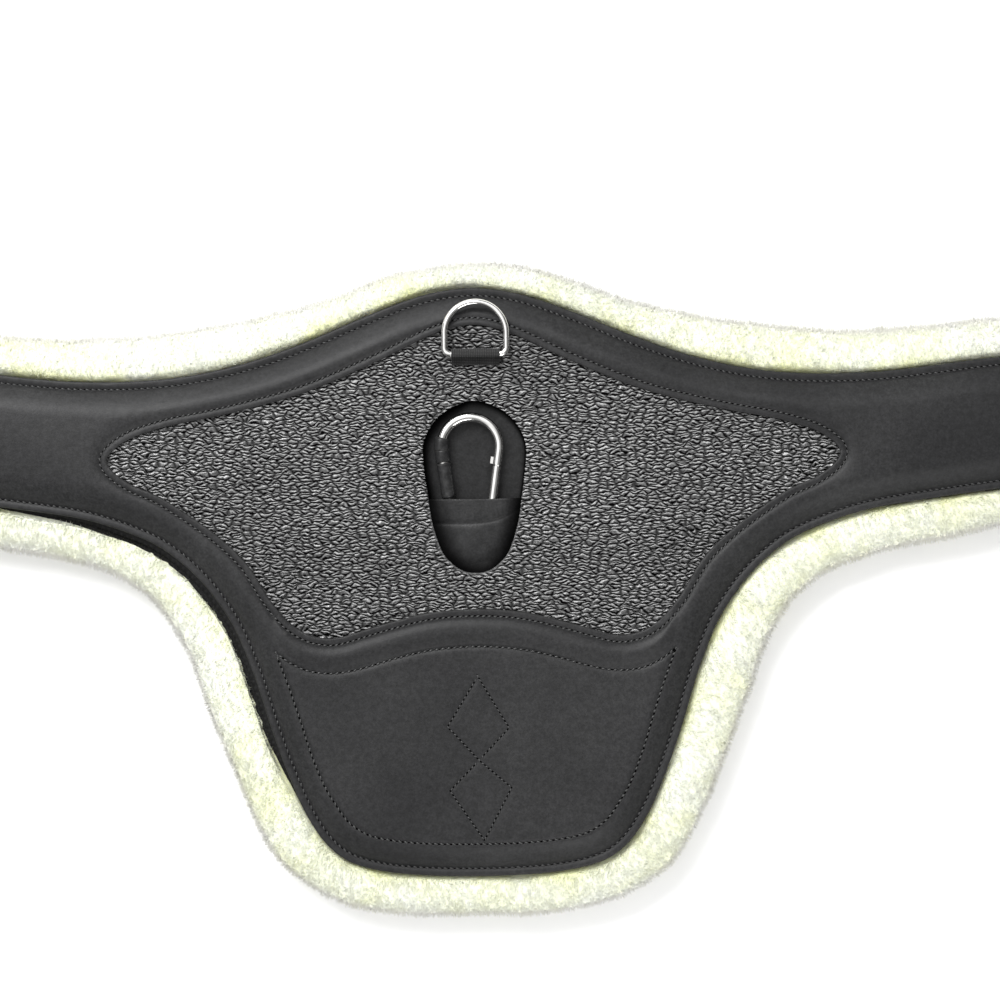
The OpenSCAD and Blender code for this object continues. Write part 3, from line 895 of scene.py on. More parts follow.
def build_padding():
    """Foam under the smooth leather and the grained panel."""
    outer, hole = Curve(EDGE.offset(-10.5)), Curve(RECESS.offset(2.0))
    points, tris = sheet(outer, [2, 5], grid=9, hole=hole, hole_rings=[2, 5], step=5)
    from_window = WINDOW.dist(points)
    ceiling = Z_INLAY - 0.1 + np.clip(from_window - 8, 0, 3) * 2
    under = np.minimum(leather_z(points) - 2.1, ceiling)
    top = np.where(from_window < 0, Z_INLAY - 0.25, under)
    lo, hi = cad_box("d_ring_loop")
    near_loop = ((points > lo[:2] - 3) & (points < hi[:2] + 3)).all(1)
    top = np.maximum(np.where(near_loop, Z_INLAY - 1.8, top), Z_FOAM + 1.0)
    shape = closed_sheet(points, tris, top, Z_FOAM + 0.05)
    hidden = ("foam_core", "band_padding", "ridge_filler")
    make("foam_padding", shape, FOAM, "foam", "girth", hidden)


# ------------------------------------------------------------------ grained panel
def grain_height(points):
    """Broad folds of the grain, 0 in the creases and 1 on top."""
    drift_y = 8.0 * noise(points * [1.0, 0.6], 46, 22) + 1.5 * noise(points, 7.0, 23)
    bent = points + np.column_stack([2.0 * noise(points, 13, 21), drift_y])
    bent = bent + 0.9 * np.column_stack([noise(points, 3.4, 24), noise(points, 3.4, 25)])
    first, second = cell_noise(bent / [6.8, 3.1], 1.0, 5)
    return np.clip(ease((second - first) / 0.42) * (1 - 0.3 * first), 0, 1)


def grain_z(points):
    from_recess = RECESS.dist(points)
    z = Z_GRAIN - 0.50 + 0.20 * noise(points, 45, 31)
    z = z + 0.55 * grain_height(points) * ease((from_recess - 0.6) / 1.2)
    # pressed down under the window's edge, and in a groove round the recess
    z = z - 0.45 * ease(1 - np.abs(WINDOW.dist(points) + 1.0) / 4.0)
    z = z - 0.16 * bell(from_recess - 4.2, 0.9)
    return z - round_off(from_recess, 1.0, drop=1.0)


def panel_sheet(fine_step=None):
    points, edges = sheet_points(
        GRAIN_EDGE,
        rings=[1.5],
        grid=3.0,
        hole=RECESS,
        hole_rings=[0.12, 0.5, 1.0, 1.8, 2.7, 3.5, 4.2, 4.9, 5.8],
        step=1.2,
    )
    if fine_step:
        fine = hex_grid(WINDOW.points.min(0), WINDOW.points.max(0), fine_step)
        fine = fine[WINDOW.dist(fine) < 1.0]
        fine = fine[RECESS.dist(fine) > 6.2]
        rims, rest = points[: len(edges)], points[len(edges) :]
        rest = rest[(WINDOW.dist(rest) > 2.0) | (RECESS.dist(rest) < 6.0)]
        points = np.vstack([rims, rest, fine])
    return triangulate(points, edges, GRAIN_EDGE, RECESS)


def build_panel():
    """The grained panel: a fine upper sheet and a coarse lower one with the same outlines."""
    upper, upper_tris = panel_sheet(0.74)
    lower, lower_tris = panel_sheet()
    places = {tuple(p): i for i, p in enumerate(np.round(lower, 3).tolist())}
    keys = [tuple(p) for p in np.round(upper, 3).tolist()]
    shape = solid_between(
        upper, upper_tris, grain_z(upper), lower, lower_tris, Z_INLAY + 0.02,
        below=lambda i: places[keys[i]],
    )
    panel = make("grained_panel", shape, GRAINED, "grained_leather", "girth", ("grain_inlay",))
    # the lower sheet counts as far from the recess
    from_recess = np.concatenate([RECESS.dist(upper), np.full(len(lower), 20.0)])
    y = np.concatenate([upper[:, 1], lower[:, 1]])
    # rim marks a painted highlight on the recess's cut edge, on its lower side only
    mark(panel, "rim", 0.9 * bell(from_recess - 0.45, 0.5) * ease((62 - y) / 25))
    mark(panel, "pebble", np.concatenate([grain_height(upper), np.full(len(lower), 0.5)]))


# ------------------------------------------------------------------ stitches
SLANT = 26  # degrees from the line
SLIT_SLANT = 60


def capsule(length, radius, around=7, along=6, bow=0.35):
    """A stitch along +X, its ends sinking into the leather."""
    verts, faces = [], []
    for i in range(along + 1):
        u = -1 + 2 * i / along
        thick = radius * (math.sqrt(max(1 - abs(u) ** 3, 0)) if 0 < i < along else 0.05)
        rise = bow * (1 - u * u) - bow * 0.55
        for j in range(around):
            a = 2 * math.pi * j / around
            verts.append((u * length / 2, thick * math.cos(a), thick * math.sin(a) * 0.85 + rise))
    for i in range(along):
        here, ahead = i * around, (i + 1) * around
        for j in range(around):
            k = (j + 1) % around
            faces.append((here + j, ahead + j, ahead + k, here + k))
    faces.append(tuple(range(around)))
    faces.append(tuple(reversed(range(along * around, (along + 1) * around))))
    return np.array(verts), faces


def turned(tangent, angle):
    x, y = tangent
    cos, sin = math.cos(angle), math.sin(angle)
    return x * cos - y * sin, x * sin + y * cos


def stood(verts, base, x_axis, y_axis, z_axis):
    return base + verts[:, :1] * x_axis + verts[:, 1:2] * y_axis + verts[:, 2:3] * z_axis


def sew(name, lines, height, pitch, radius=0.54, lift=0.42, body="girth"):
    """Slanted stitches along lines, each (curve, slant's sign), with near-black slits between them as
    painted shade in the needle holes.
    """
    stitch, stitch_faces = capsule(pitch * 0.72, radius)
    slit, slit_faces = capsule(pitch * 0.58, radius * 1.5, around=6, along=4, bow=0.0)
    slit[:, 2] *= 0.35
    stitches, slits = [], []
    rng = np.random.RandomState(len(name) * 77 + 5)
    probe = 0.6
    for line, sign in lines:
        places, tangents = line.frames(pitch)
        levels = height(places)
        rise = height(places + tangents * probe) - height(places - tangents * probe)
        slopes = rise / (2 * probe)
        for place, tangent, level, slope in zip(places, tangents, levels, slopes):
            angle = math.radians(SLANT * sign + rng.uniform(-4, 4))
            x, y = turned(tangent, angle)
            x_axis = unit(np.array([x, y, slope * math.cos(angle)]))
            y_axis = np.array([-y, x, 0])
            base = np.array([*place, level + lift])
            verts = stood(stitch, base, x_axis, y_axis, np.cross(x_axis, y_axis))
            stitches.append((verts, stitch_faces))
            x, y = turned(tangent, math.radians(SLIT_SLANT * sign))
            base = np.array([*(place + tangent * pitch * 0.5), level + slope * pitch * 0.5])
            axes = np.array([x, y, 0]), np.array([-y, x, 0]), np.array([0, 0, 1.0])
            slits.append((stood(slit, base, *axes), slit_faces))
    make(name, joined(stitches), THREAD, "smooth_leather", body)
    make(name + "_slit_shade", joined(slits), SLIT_SHADE, "smooth_leather", body)


def sew_leather():
    sew("rim_stitching", [(Curve(EDGE.offset(-RIM_SEW)), -1)], leather_z, pitch=3.8)
    sew("window_stitching", [(Curve(WINDOW.offset(WINDOW_SEW)), 1)], leather_z, pitch=3.6)
    sew("guard_stitching", [(ARCH, 1), (PANEL, -1)], leather_z, pitch=3.7)
    diamonds = [(UPPER_DIAMOND, 1), (LOWER_DIAMOND, 1)]
    sew("diamond_stitching", diamonds, leather_z, pitch=3.0, radius=0.46, lift=0.25)
    sew("strap_end_stitching", [(line, 1) for line in END_LINES], leather_z, pitch=3.4)


# ------------------------------------------------------------------ lining, backing and tapes
def left_gap(points):
    """How far the liner is drawn away from the leather, on the left side of the guard."""
    x, y = points[:, 0], points[:, 1]
    along = ease((-x - 60) / 40) * ease((330 + x) / 110)
    return 7.5 * along * ease((66 - y) / 30) * ease((y + 150) / 60)


def edge_sheet(name, grow, gap_share, z0, z1, material, slot, body, replaces, x_max=None):
    """A thin sheet that reaches past the leather by grow and a share of the left gap."""
    base, normals = EDGE.points[::4], EDGE.normals[::4]
    outline = base + normals * (grow + gap_share * left_gap(base))[:, None]
    if x_max is not None:
        outline = np.column_stack([np.clip(outline[:, 0], -x_max, x_max), outline[:, 1]])
        apart = norm(np.diff(outline, axis=0), axis=1) > 0.3
        outline = outline[np.concatenate([[True], apart])]
    curve = Curve(outline, step=1.0)
    points, tris = sheet(curve, [0.3, 0.8, 3], grid=14, step=4)
    edge = round_off(-curve.dist(points), 0.8, drop=0.45 * (z1 - z0), steep=1)
    shape = closed_sheet(points, tris, z1 - edge, z0 + edge)
    make(name, shape, material, slot, body, replaces)


def build_liner_sheets():
    edge_sheet(
        "lining_leather_sheet", -0.2, 0.45, Z_LINING, Z_LINING_TOP,
        LINING, "lining_leather", "girth", ("lining_leather",),
    )
    edge_sheet(
        "backing_cloth_sheet", 1.6, 0.85, Z_BACK + 0.02, Z_BACK_TOP,
        BACKING, "backing_cloth", "root", ("fleece_backing",), x_max=455,
    )


def loose_parts(mesh):
    """Points of each connected part of a mesh, joining vertices that share a place."""
    points = mesh_points(mesh)
    link = list(range(len(points)))

    def find(i):
        while link[i] != i:
            link[i] = link[link[i]]
            i = link[i]
        return i

    places = {}
    for i, p in enumerate(np.round(points, 2)):
        link[find(i)] = find(places.setdefault(tuple(p), i))
    for poly in mesh.polygons:
        root = find(poly.vertices[0])
        for k in poly.vertices[1:]:
            link[find(k)] = root
    parts = {}
    for i in range(len(points)):
        parts.setdefault(find(i), []).append(i)
    return [points[ids] for ids in parts.values()]


def tape_strip(lo, hi):
    """A rounded strip that fills a box, with a sunk border and a rough pile."""
    radius = 3.0
    x0, y0, x1, y1 = lo[0] + radius, lo[1] + radius, hi[0] - radius, hi[1] - radius
    outline = []
    for x, y, start in ((x1, y1, 0), (x0, y1, 90), (x0, y0, 180), (x1, y0, 270)):
        for t in range(0, 91, 15):
            a = math.radians(start + t)
            outline.append((x + radius * math.cos(a), y + radius * math.sin(a)))
    curve = Curve(np.array(outline), step=1.0)
    points, tris = sheet(curve, [0.3, 1.0, 2.0, 2.6], grid=3.2)
    d = -curve.dist(points)
    pile = 0.16 * noise(points, 2.4, 9) * ease((d - 3) / 1.5)
    edge = 0.3 * (hi[2] - lo[2]) * np.clip(1 - d / 0.8, 0, 1) ** 2
    z = hi[2] - 0.12 + pile - 0.2 * bell(d - 2.0, 0.5) - edge
    return closed_sheet(points, tris, np.minimum(z, hi[2]), lo[2] + 0.01)


def build_tapes():
    for source, name, material, slot, body in (
        ("liner_loop_strips", "loop_tape_strips", LOOP_TAPE, "loop_tape", "root"),
        ("girth_hook_strips", "hook_tape_strips", HOOK_TAPE, "hook_tape", "girth"),
    ):
        parts = loose_parts(NODES[source].data)
        shape = joined([tape_strip(part.min(0), part.max(0)) for part in parts])
        make(name, shape, material, slot, body, (source,))
    for slot in NODES["load_webs"].material_slots:
        slot.material = woven("load_web_weave", tone=0.03, rib=1.4, cross=0.9)


# ------------------------------------------------------------------ fleece
PATH_STEP = 2.1
PATH = even(close(FLEECE.points), True, PATH_STEP)
COUNT = len(PATH)
ALONG = unit(np.roll(PATH, -1, axis=0) - np.roll(PATH, 1, axis=0))
OUTWARD = np.column_stack([ALONG[:, 1], -ALONG[:, 0]])

# Section of the rolled edge. The full roll's reach inwards from the outline is
# reach + by_margin * (distance to the leather) + by_gap * (left gap).
# Columns: reach, by_margin, by_gap, height, low roll's reach, low roll's height.
ROLL_SECTION = [
    (24, 0, 0, 0.7, 24, 0.7),
    (12, 0, 0, 0.2, 12, 0.2),
    (4.5, 0, 0, 1.5, 4.5, 1.5),
    (0.6, 0, 0, 6.0, 0.8, 5.0),
    (-1.0, 0, 0, 11.5, 0.0, 9.5),
    (0.6, 0, 0, 17.5, 0.7, 13.5),
    (0, 0.20, 0, 22.0, 2.6, 16.2),
    (0, 0.48, 0, 24.6, 6.0, 17.2),
    (0, 0.78, 0, 24.2, 9.0, 17.5),
    (-1.2, 1, -1, 21.5, 12, 17.6),
    (0.4, 1, -0.9, 18.9, 14, 17.6),
    (6.0, 1, 0, 17.6, 16, 17.2),
    (4.0, 1, 0, 12, 20, 12),
    (24, 0, 0, 6, 24, 6),
]
STATIONS = len(ROLL_SECTION)


def running_mean(values, reach):
    weights = np.hanning(2 * reach + 3)[1:-1]
    weights /= weights.sum()
    return np.convolve(np.concatenate([values[-reach:], values, values[:reach]]), weights, "valid")


def finer(grid, steps):
    """Catmull-Rom rows between the rows of a grid that closes on itself."""
    rows = []
    for k in range(len(grid)):
        a, b, c, d = (grid[(k + i) % len(grid)] for i in (-1, 0, 1, 2))
        for j in range(steps):
            t = j / steps
            square = (2 * a - 5 * b + 4 * c - d) * t * t
            rows.append(0.5 * (2 * b + (c - a) * t + square + (3 * b - a - 3 * c + d) * t**3))
    return np.array(rows)


margin = running_mean(EDGE.dist(PATH), int(16 / PATH_STEP))
FULLNESS = ease((margin - 1.0) / 11.0)


def roll_surface():
    """Points of the smooth roll, as (row round the section, place along the path, xyz)."""
    gap = running_mean(left_gap(PATH), int(30 / PATH_STEP))
    columns = np.array(ROLL_SECTION, float).T[:, :, None]
    reach, by_margin, by_gap, height, low_reach, low_height = columns
    reach = reach + by_margin * np.maximum(margin, 6.0) + by_gap * gap
    steps = 3
    reach = finer(FULLNESS * reach + (1 - FULLNESS) * low_reach, steps)
    height = finer(FULLNESS * height + (1 - FULLNESS) * low_height, steps)
    flat = PATH[None] - OUTWARD[None] * reach[:, :, None]
    return np.concatenate([flat, height[:, :, None]], axis=2)


def outward_normals(grid):
    round_section = np.roll(grid, -1, axis=0) - np.roll(grid, 1, axis=0)
    along = np.roll(grid, -1, axis=1) - np.roll(grid, 1, axis=1)
    normals = unit(np.cross(along, round_section))
    third = len(normals) // 3
    if (normals[third] * (grid[third] - grid.mean(0))).sum() < 0:
        normals = -normals
    return normals


def woolly(grid, normals):
    """The roll's points moved into tufts and waves."""
    rows = len(grid)
    points = grid.reshape(-1, 3)
    tufts = cell_noise(points * [1, 1, 1.2], 6.5, 3)[0]
    small_tufts = cell_noise(points, 3.1, 8)[0]
    push = 0.8 * (0.55 - tufts) + 0.45 * (0.5 - small_tufts) + 1.0 * noise(points, 26, 2)
    push = push + 0.5 * noise(points, 9, 14) + 0.3 * noise(points, 1.9, 6)
    # calm where the leather and the floor hold it
    place = np.repeat(np.arange(rows), COUNT) / rows
    inner = (place > 9.4 / STATIONS) | (place < 1.2 / STATIONS)
    calm = ease((points[:, 2] - 0.8) / 3.0) * np.where(inner, 0.25, 1.0)
    push = np.where(EDGE.dist(points) < 0.5, np.minimum(push, 0) * 0.3, push * calm)
    points = points + normals.reshape(-1, 3) * push[:, None]
    points[:, 2] = np.maximum(points[:, 2], 0.05)
    covered = EDGE.dist(points) < 0.3
    points[:, 2] = np.where(covered, np.minimum(points[:, 2], Z_BACK - 0.1), points[:, 2])
    return points


def mark_wool(ob, points):
    """near, the painted shade against the leather, is 1 there and 0 from 9 mm off; outer, the painted
    shade on the outer flank, grows towards the outline.
    """
    mark(ob, "near", np.clip(1 - (EDGE.dist(points) - 1) / 8.0, 0, 1))
    mark(ob, "outer", 0.55 * ease((FLEECE.dist(points) + 3.0) / 4.5))


def build_roll():
    """Makes the rolled edge, and returns its points and normals as grids."""
    grid = roll_surface()
    rows = len(grid)
    normals = outward_normals(grid)
    points = woolly(grid, normals)
    faces = []
    for i in range(rows):
        here, ahead = i * COUNT, (i + 1) % rows * COUNT
        for j in range(COUNT):
            k = (j + 1) % COUNT
            faces.append((here + j, ahead + j, ahead + k, here + k))
    roll = make("fleece_roll", (points, faces), WOOL, "sheepskin", "root", ("fleece_pile",))
    mark_wool(roll, points)
    face_outwards(roll)
    return points.reshape(rows, COUNT, 3), normals


def build_underside():
    """The pile under the girth."""
    curve = Curve(FLEECE.offset(-9.0), step=1.5)
    points, tris = sheet(curve, [2, 5, 9], grid=3.4, step=4)
    solid_points = np.column_stack([points, np.zeros(len(points))])
    tufts = cell_noise(solid_points, 6.5, 3)[0]
    small_tufts = cell_noise(solid_points, 3.1, 8)[0]
    bottom = 1.1 - (0.9 * (0.55 - tufts) + 0.4 * (0.5 - small_tufts)) + 0.5 * noise(points, 30, 2)
    top = np.where(EDGE.dist(points) < -2, Z_BACK - 0.05, Z_BACK - 0.6)
    shape = closed_sheet(points, tris, top, np.clip(bottom, 0.0, 3.0))
    pile = make("fleece_underside", shape, WOOL, "sheepskin", "root")
    mark_wool(pile, shape[0])


LOCK_LENGTH = 3.5
LOCK_RADIUS = 0.42
LOCK_SPREAD = 0.20  # random part of a lock's direction


def build_locks(name, count, seed, grid, grid_normals):
    """Locks of wool on the roll, three-sided and bent, each a separate tapering solid."""
    rng = np.random.RandomState(seed)
    rows = len(grid)
    i = rng.randint(int(rows * 2.2 / STATIONS), int(rows * 9.3 / STATIONS), count)
    j = rng.randint(0, COUNT, count)
    ok = (FULLNESS[j] > 0.35) | (i < rows * 5.5 / STATIONS)
    i, j = i[ok], j[ok]
    part_i, part_j = rng.rand(len(i), 1), rng.rand(len(i), 1)
    i2, j2 = (i + 1) % rows, (j + 1) % COUNT
    near_side = grid[i, j] * (1 - part_i) + grid[i2, j] * part_i
    far_side = grid[i, j2] * (1 - part_i) + grid[i2, j2] * part_i
    place = near_side * (1 - part_j) + far_side * part_j
    normal = grid_normals[i, j]
    level = np.zeros(len(j))
    out = np.column_stack([OUTWARD[j], level])
    along = np.column_stack([ALONG[j], level])
    # locks lie in drifts: neighbours lean the same way
    lean = along * noise(place, 11, 40 + seed % 3)[:, None] * 0.7
    lean_out = 0.42 + 0.25 * noise(place, 15, 50)[:, None]
    up = np.clip(normal[:, 2:3], 0, 1)
    lower = normal * 0.75 + out * lean_out * (0.4 + up) + lean * 0.75
    lower = unit(lower + rng.normal(0, LOCK_SPREAD, place.shape))
    upper = lower * 0.8 + out * 0.35 + lean * 0.4 + rng.normal(0, LOCK_SPREAD, place.shape)
    upper[:, 2] -= 0.25
    upper = unit(upper)
    length = LOCK_LENGTH * (0.65 + 0.7 * rng.rand(len(place), 1))
    radius = LOCK_RADIUS * (0.7 + 0.6 * rng.rand(len(place), 1))
    root = place - normal * 0.6
    bend = root + lower * length * 0.5
    tip = bend + upper * length * 0.5
    # stay off the leather and the floor
    keep = (EDGE.dist(tip) > 0.6) & (tip[:, 2] > 0.15) & (EDGE.dist(place) > 0.2)
    root, bend, tip, lower, radius, normal = (
        values[keep] for values in (root, bend, tip, lower, radius, normal)
    )
    side = unit(np.cross(lower, [0.3, 0.2, 0.93]))
    other_side = np.cross(lower, side)
    verts = np.zeros((len(root), 7, 3))
    for k in range(3):
        angle = 2 * math.pi * k / 3
        spoke = side * math.cos(angle) + other_side * math.sin(angle)
        verts[:, k] = root + spoke * radius
        verts[:, 3 + k] = bend + spoke * radius * 0.72
    verts[:, 6] = tip
    faces = [(0, 2, 1)]
    for k in range(3):
        m = (k + 1) % 3
        faces += [(k, m, 3 + m), (k, 3 + m, 3 + k), (3 + k, 3 + m, 6)]
    faces = (np.array(faces)[None] + 7 * np.arange(len(root))[:, None, None]).reshape(-1, 3)
    points = verts.reshape(-1, 3)
    ob = make(name, (points, faces), WOOL, "sheepskin", "root")
    mark_wool(ob, points)
    # soft shading: each lock takes most of its light as the roll under it would
    own = verts - (root + (tip - root) * 0.5)[:, None, :]
    own -= (own * lower[:, None, :]).sum(2, keepdims=True) * lower[:, None, :]
    shade = unit(normal[:, None, :] + 0.22 * unit(own))
    ob.data.normals_split_custom_set_from_vertices(shade.reshape(-1, 3).tolist())


def build_fleece():
    grid, normals = build_roll()
    build_underside()
    for k in range(3):
        build_locks(f"fleece_locks_{k + 1}", 21000, 11 + k, grid, normals)


# ------------------------------------------------------------------ recess and pocket
def mark_painted_shade(ob, width_at, most=1.0):
    """Painted shade, darker towards the wall of the recess, over the width given for each (x, y)."""
    points = plan(ob)
    width = width_at(points[:, 0], points[:, 1])
    mark(ob, "deep", most * ease(1 + RECESS.dist(points) / width))


def build_recess():
    """The recess's leather floor, which curves up into its wall."""
    points, tris = sheet(
        Curve(RECESS.offset(1.2)),
        rings=[0.4, 1.0, 1.4, 1.9, 2.5, 3.2, 4.0, 5.2, 7],
        grid=2.2,
        step=1.6,
    )
    d = -RECESS.dist(points)
    wall = round_off(d + 1.2, 2.9, drop=Z_INLAY - Z_FLOOR, steep=1)
    top = Z_FLOOR - 0.1 + wall + 0.12 * noise(points, 9, 12) * ease(d / 6)
    shape = closed_sheet(points, tris, np.minimum(top, Z_INLAY - 0.05), Z_FOAM + 0.06)
    lining = make(
        "recess_lining", shape, RECESS_LEATHER, "smooth_leather", "girth", ("recess_cup",)
    )
    # painted shadow by the recess wall, widest on the left and top walls, which shade the floor from the
    # key light
    mark_painted_shade(
        lining,
        lambda x, y: 3.0 + 5.5 * ease((RING[0] - 3 - x) / 12) + 1.2 * ease((y - 90) / 12),
    )


MOUTH = cad_box("hook_pocket")[1][1]  # y of the pocket's open edge


def pocket_outline():
    """The pocket's outline with the corners of its mouth, left then right."""
    low = RECESS.offset(0.9)
    low = low[low[:, 1] < MOUTH]
    # order the lower part of the opening from its left end to its right end
    low = low[np.argsort(np.arctan2(low[:, 0] - RING[0], -(low[:, 1] - MOUTH - 5)))]
    left, right = low[0], low[-1]
    mouth = [
        [right[0] + (left[0] - right[0]) * t, MOUTH - 0.5 * math.sin(math.pi * t)]
        for t in np.linspace(0, 1, 24)[1:-1]
    ]
    return Curve(np.vstack([low, mouth])), left, right


def build_pocket():
    outline, left, right = pocket_outline()
    hem = smooth_line([
        (left[0], MOUTH - 15.2), (-14, MOUTH - 15.6), (2, MOUTH - 15.4),
        (14, MOUTH - 13.6), (23, MOUTH - 9.6), (right[0], MOUTH - 5.2),
    ])
    points, tris = sheet(outline, [0.3, 0.8, 1.4, 2.2], grid=1.8, lines=[hem], step=1.4)
    x, y = points[:, 0], points[:, 1]
    d = np.maximum(-RECESS.dist(points), -0.9)
    start = Z_INLAY - 0.6
    z = start + (HOOK_Z + 3.0 + 1.45 - start) * crown((d + 0.9) / 10.5)
    # fuller over the hook's narrow end
    z = z + 0.9 * bell(x + 1, 11) * bell(y - 31, 13)
    band = ease((y - (MOUTH - 15)) / 4)
    z = z + 0.25 * band - 0.55 * bell(hem.dist(points), 1.1)
    # slack folds in the hem
    z = z + 0.22 * noise(points * [0.35, 1.0], 3.6, 44) * band * ease(d / 6)
    z = z + 0.15 * noise(points, 7, 45) * ease(d / 6)
    top = z - round_off(MOUTH - y, 0.9, drop=0.7)
    shape = closed_sheet(points, tris, top, np.minimum(top - 1.0, z - 1.15))
    pocket = make(
        "hook_pocket_leather", shape, POCKET_LEATHER, "smooth_leather", "girth", ("hook_pocket",)
    )
    # painted shade towards the pocket's edges, widest on the left
    mark_painted_shade(pocket, lambda x, y: 14.0 + 3.0 * ease((RING[0] - 6 - x) / 10), most=0.97)
    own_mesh(pocket)


# ------------------------------------------------------------------ keepers on the hook's spine
SPINE_START = joint_place("hook_swing")
SPINE = unit(-np.array(joint("hook_swing")["axis"], float))
SPINE_SIDE = np.array([SPINE[1], -SPINE[0], 0])
SPINE_LENGTH = 53.68
BEND_RADIUS = (HOOK_HI[0] - HOOK_LO[0]) / 2 - 3.0
MOUTH_AT = (MOUTH + 0.6 - SPINE_START[1]) / SPINE[1]  # the pocket's mouth, along the spine
BORE = 3.07
TUCKED = 3.2  # outer radius inside the pocket


def sleeve(start, end, inner, outer, seed, rounded=(True, True)):
    """A leather tube along the spine; past the spine's end it follows the hook's wide bend."""
    around = 40
    rows = max(int((end - start) / 0.9), 6)
    outside, inside = [], []
    for k in range(rows + 1):
        t = start + (end - start) * k / rows
        turn = max(t - SPINE_LENGTH, 0) / BEND_RADIUS
        cos, sin = math.cos(turn), math.sin(turn)
        centre = SPINE_START + SPINE * min(t, SPINE_LENGTH)
        centre = centre + SPINE * BEND_RADIUS * sin + SPINE_SIDE * BEND_RADIUS * (1 - cos)
        across = SPINE_SIDE * cos - SPINE * sin
        from_end = min(k if rounded[0] else rows, rows - k if rounded[1] else rows)
        lip = 0.35 * max(0, 1 - from_end * (end - start) / rows / 0.8) ** 2
        for j in range(around):
            a = 2 * math.pi * j / around
            radius = outer - lip
            if t < MOUTH_AT + 0.8:
                growth = max(0.0, (t - MOUTH_AT) / 0.8)
                radius = min(radius, 3.22 + growth * (outer - 3.22))
            radius += 0.072 * math.sin(3 * a + seed) + 0.12 * math.sin(t * 0.9 + seed + a * 2)
            # flat beneath
            if math.sin(a) < -0.5:
                radius = min(radius, outer - 0.02)
            if t < MOUTH_AT:
                radius = TUCKED
            for ring, r in ((outside, radius), (inside, inner)):
                ring.append(centre + across * math.cos(a) * r + np.array([0, 0, math.sin(a) * r]))
    n = len(outside)
    faces = []
    for k in range(rows):
        here, ahead = k * around, (k + 1) * around
        for j in range(around):
            m = (j + 1) % around
            faces.append((here + j, here + m, ahead + m, ahead + j))
            faces.append((n + here + j, n + ahead + j, n + ahead + m, n + here + m))
    last = rows * around
    for j in range(around):
        m = (j + 1) % around
        faces.append((j, n + j, n + m, m))
        faces.append((last + j, last + m, n + last + m, n + last + j))
    return np.array(outside + inside), faces


def foot(start, end):
    """A flat tab beside the spine, on the floor of the recess."""
    rows, cols = 10, 14
    width, edge = 7.4, 0.7
    floor = Z_FLOOR - HOOK_Z
    upper, lower = [], []
    for k in range(rows + 1):
        centre = SPINE_START + SPINE * (start + (end - start) * k / rows)
        from_end = min(k, rows - k) / rows * (end - start)
        for j in range(cols + 1):
            u = j / cols
            place = centre + SPINE_SIDE * (3.3 - u * width)
            lip = 0.35 * max(0.0, 1 - from_end / edge) ** 2
            lip += 0.5 * max(0.0, 1 - min(u, 1 - u) * width / edge) ** 2
            upper.append(place + np.array([0, 0, floor + 1.25 - lip]))
            lower.append(place + np.array([0, 0, floor + 0.02]))
    n = len(upper)
    row = cols + 1
    faces = []
    for k in range(rows):
        for a in range(k * row, k * row + cols):
            faces.append((a, a + row, a + row + 1, a + 1))
            faces.append((n + a, n + a + 1, n + a + row + 1, n + a + row))
    for k in range(rows):
        a = k * row
        faces.append((a, n + a, n + a + row, a + row))
        a += cols
        faces.append((a, a + row, n + a + row, n + a))
    for j in range(cols):
        faces.append((j, j + 1, n + j + 1, n + j))
        a = rows * row + j
        faces.append((a, n + a, n + a + 1, a + 1))
    return np.array(upper + lower), faces


def build_keepers():
    upper = dict(inner=BORE + 0.12, outer=4.62, seed=2.3)
    shape = joined([
        sleeve(MOUTH_AT - 4.5, 45.6, inner=BORE, outer=4.42, seed=1.0),
        sleeve(46.1, SPINE_LENGTH - 0.06, rounded=(True, False), **upper),
        foot(27.0, 45.2),
        foot(46.5, 52.7),
    ])
    look = POCKET_LEATHER, "smooth_leather"
    make("hook_keeper_leather", shape, *look, "girth", ("hook_keepers",), outward=True)
    # the upper sleeve's bent end goes with the hook's wide bend when the hook turns
    shape = sleeve(SPINE_LENGTH - 0.03, 61.5, rounded=(False, True), **upper)
    make("hook_keeper_bent_end", shape, *look, "snap_hook", outward=True)


# ------------------------------------------------------------------ straps swept along a path
def strap(path, width, thick, across, edge, rib_height=0.0, rib_pitch=1.0):
    """A flat closed strap along (x, z) points, with y across; edge is its rounding's width."""
    path = np.asarray(path, float)
    tangents = unit(np.gradient(path, axis=0))
    normals = np.column_stack([-tangents[:, 1], tangents[:, 0]])
    profile = []
    for k in range(across + 1):
        u = -1 + 2 * k / across
        y = math.copysign(abs(u) ** 0.8, u) * width / 2
        near = max(0.0, 1 - (width / 2 - abs(y)) / edge)
        half = thick / 2 * math.sqrt(max(1 - near * near * 0.96, 0.02))
        profile.append((y, half + rib_height * math.cos(y * 2 * math.pi / rib_pitch)))
    verts = []
    for (x, z), (nx, nz) in zip(path, normals):
        for face in (1, -1):
            verts += [(x + nx * face * half, y, z + nz * face * half) for y, half in profile]
    c = across + 1
    faces = []
    for i in range(len(path) - 1):
        a, b = i * 2 * c, (i + 1) * 2 * c
        for k in range(across):
            faces.append((a + k, a + k + 1, b + k + 1, b + k))
            faces.append((a + c + k, b + c + k, b + c + k + 1, a + c + k + 1))
        faces.append((a, b, b + c, a + c))
        faces.append((a + across, a + c + across, b + c + across, b + across))
    e = (len(path) - 1) * 2 * c
    for k in range(across):
        faces.append((k, c + k, c + k + 1, k + 1))
        faces.append((e + k, e + k + 1, e + c + k + 1, e + c + k))
    return np.array(verts), faces


def arc(radius, start, end, count):
    """Points round (0, 0), by degrees clockwise from straight up."""
    angles = [math.radians(a) for a in np.linspace(start, end, count)]
    return [(radius * math.sin(a), radius * math.cos(a)) for a in angles]


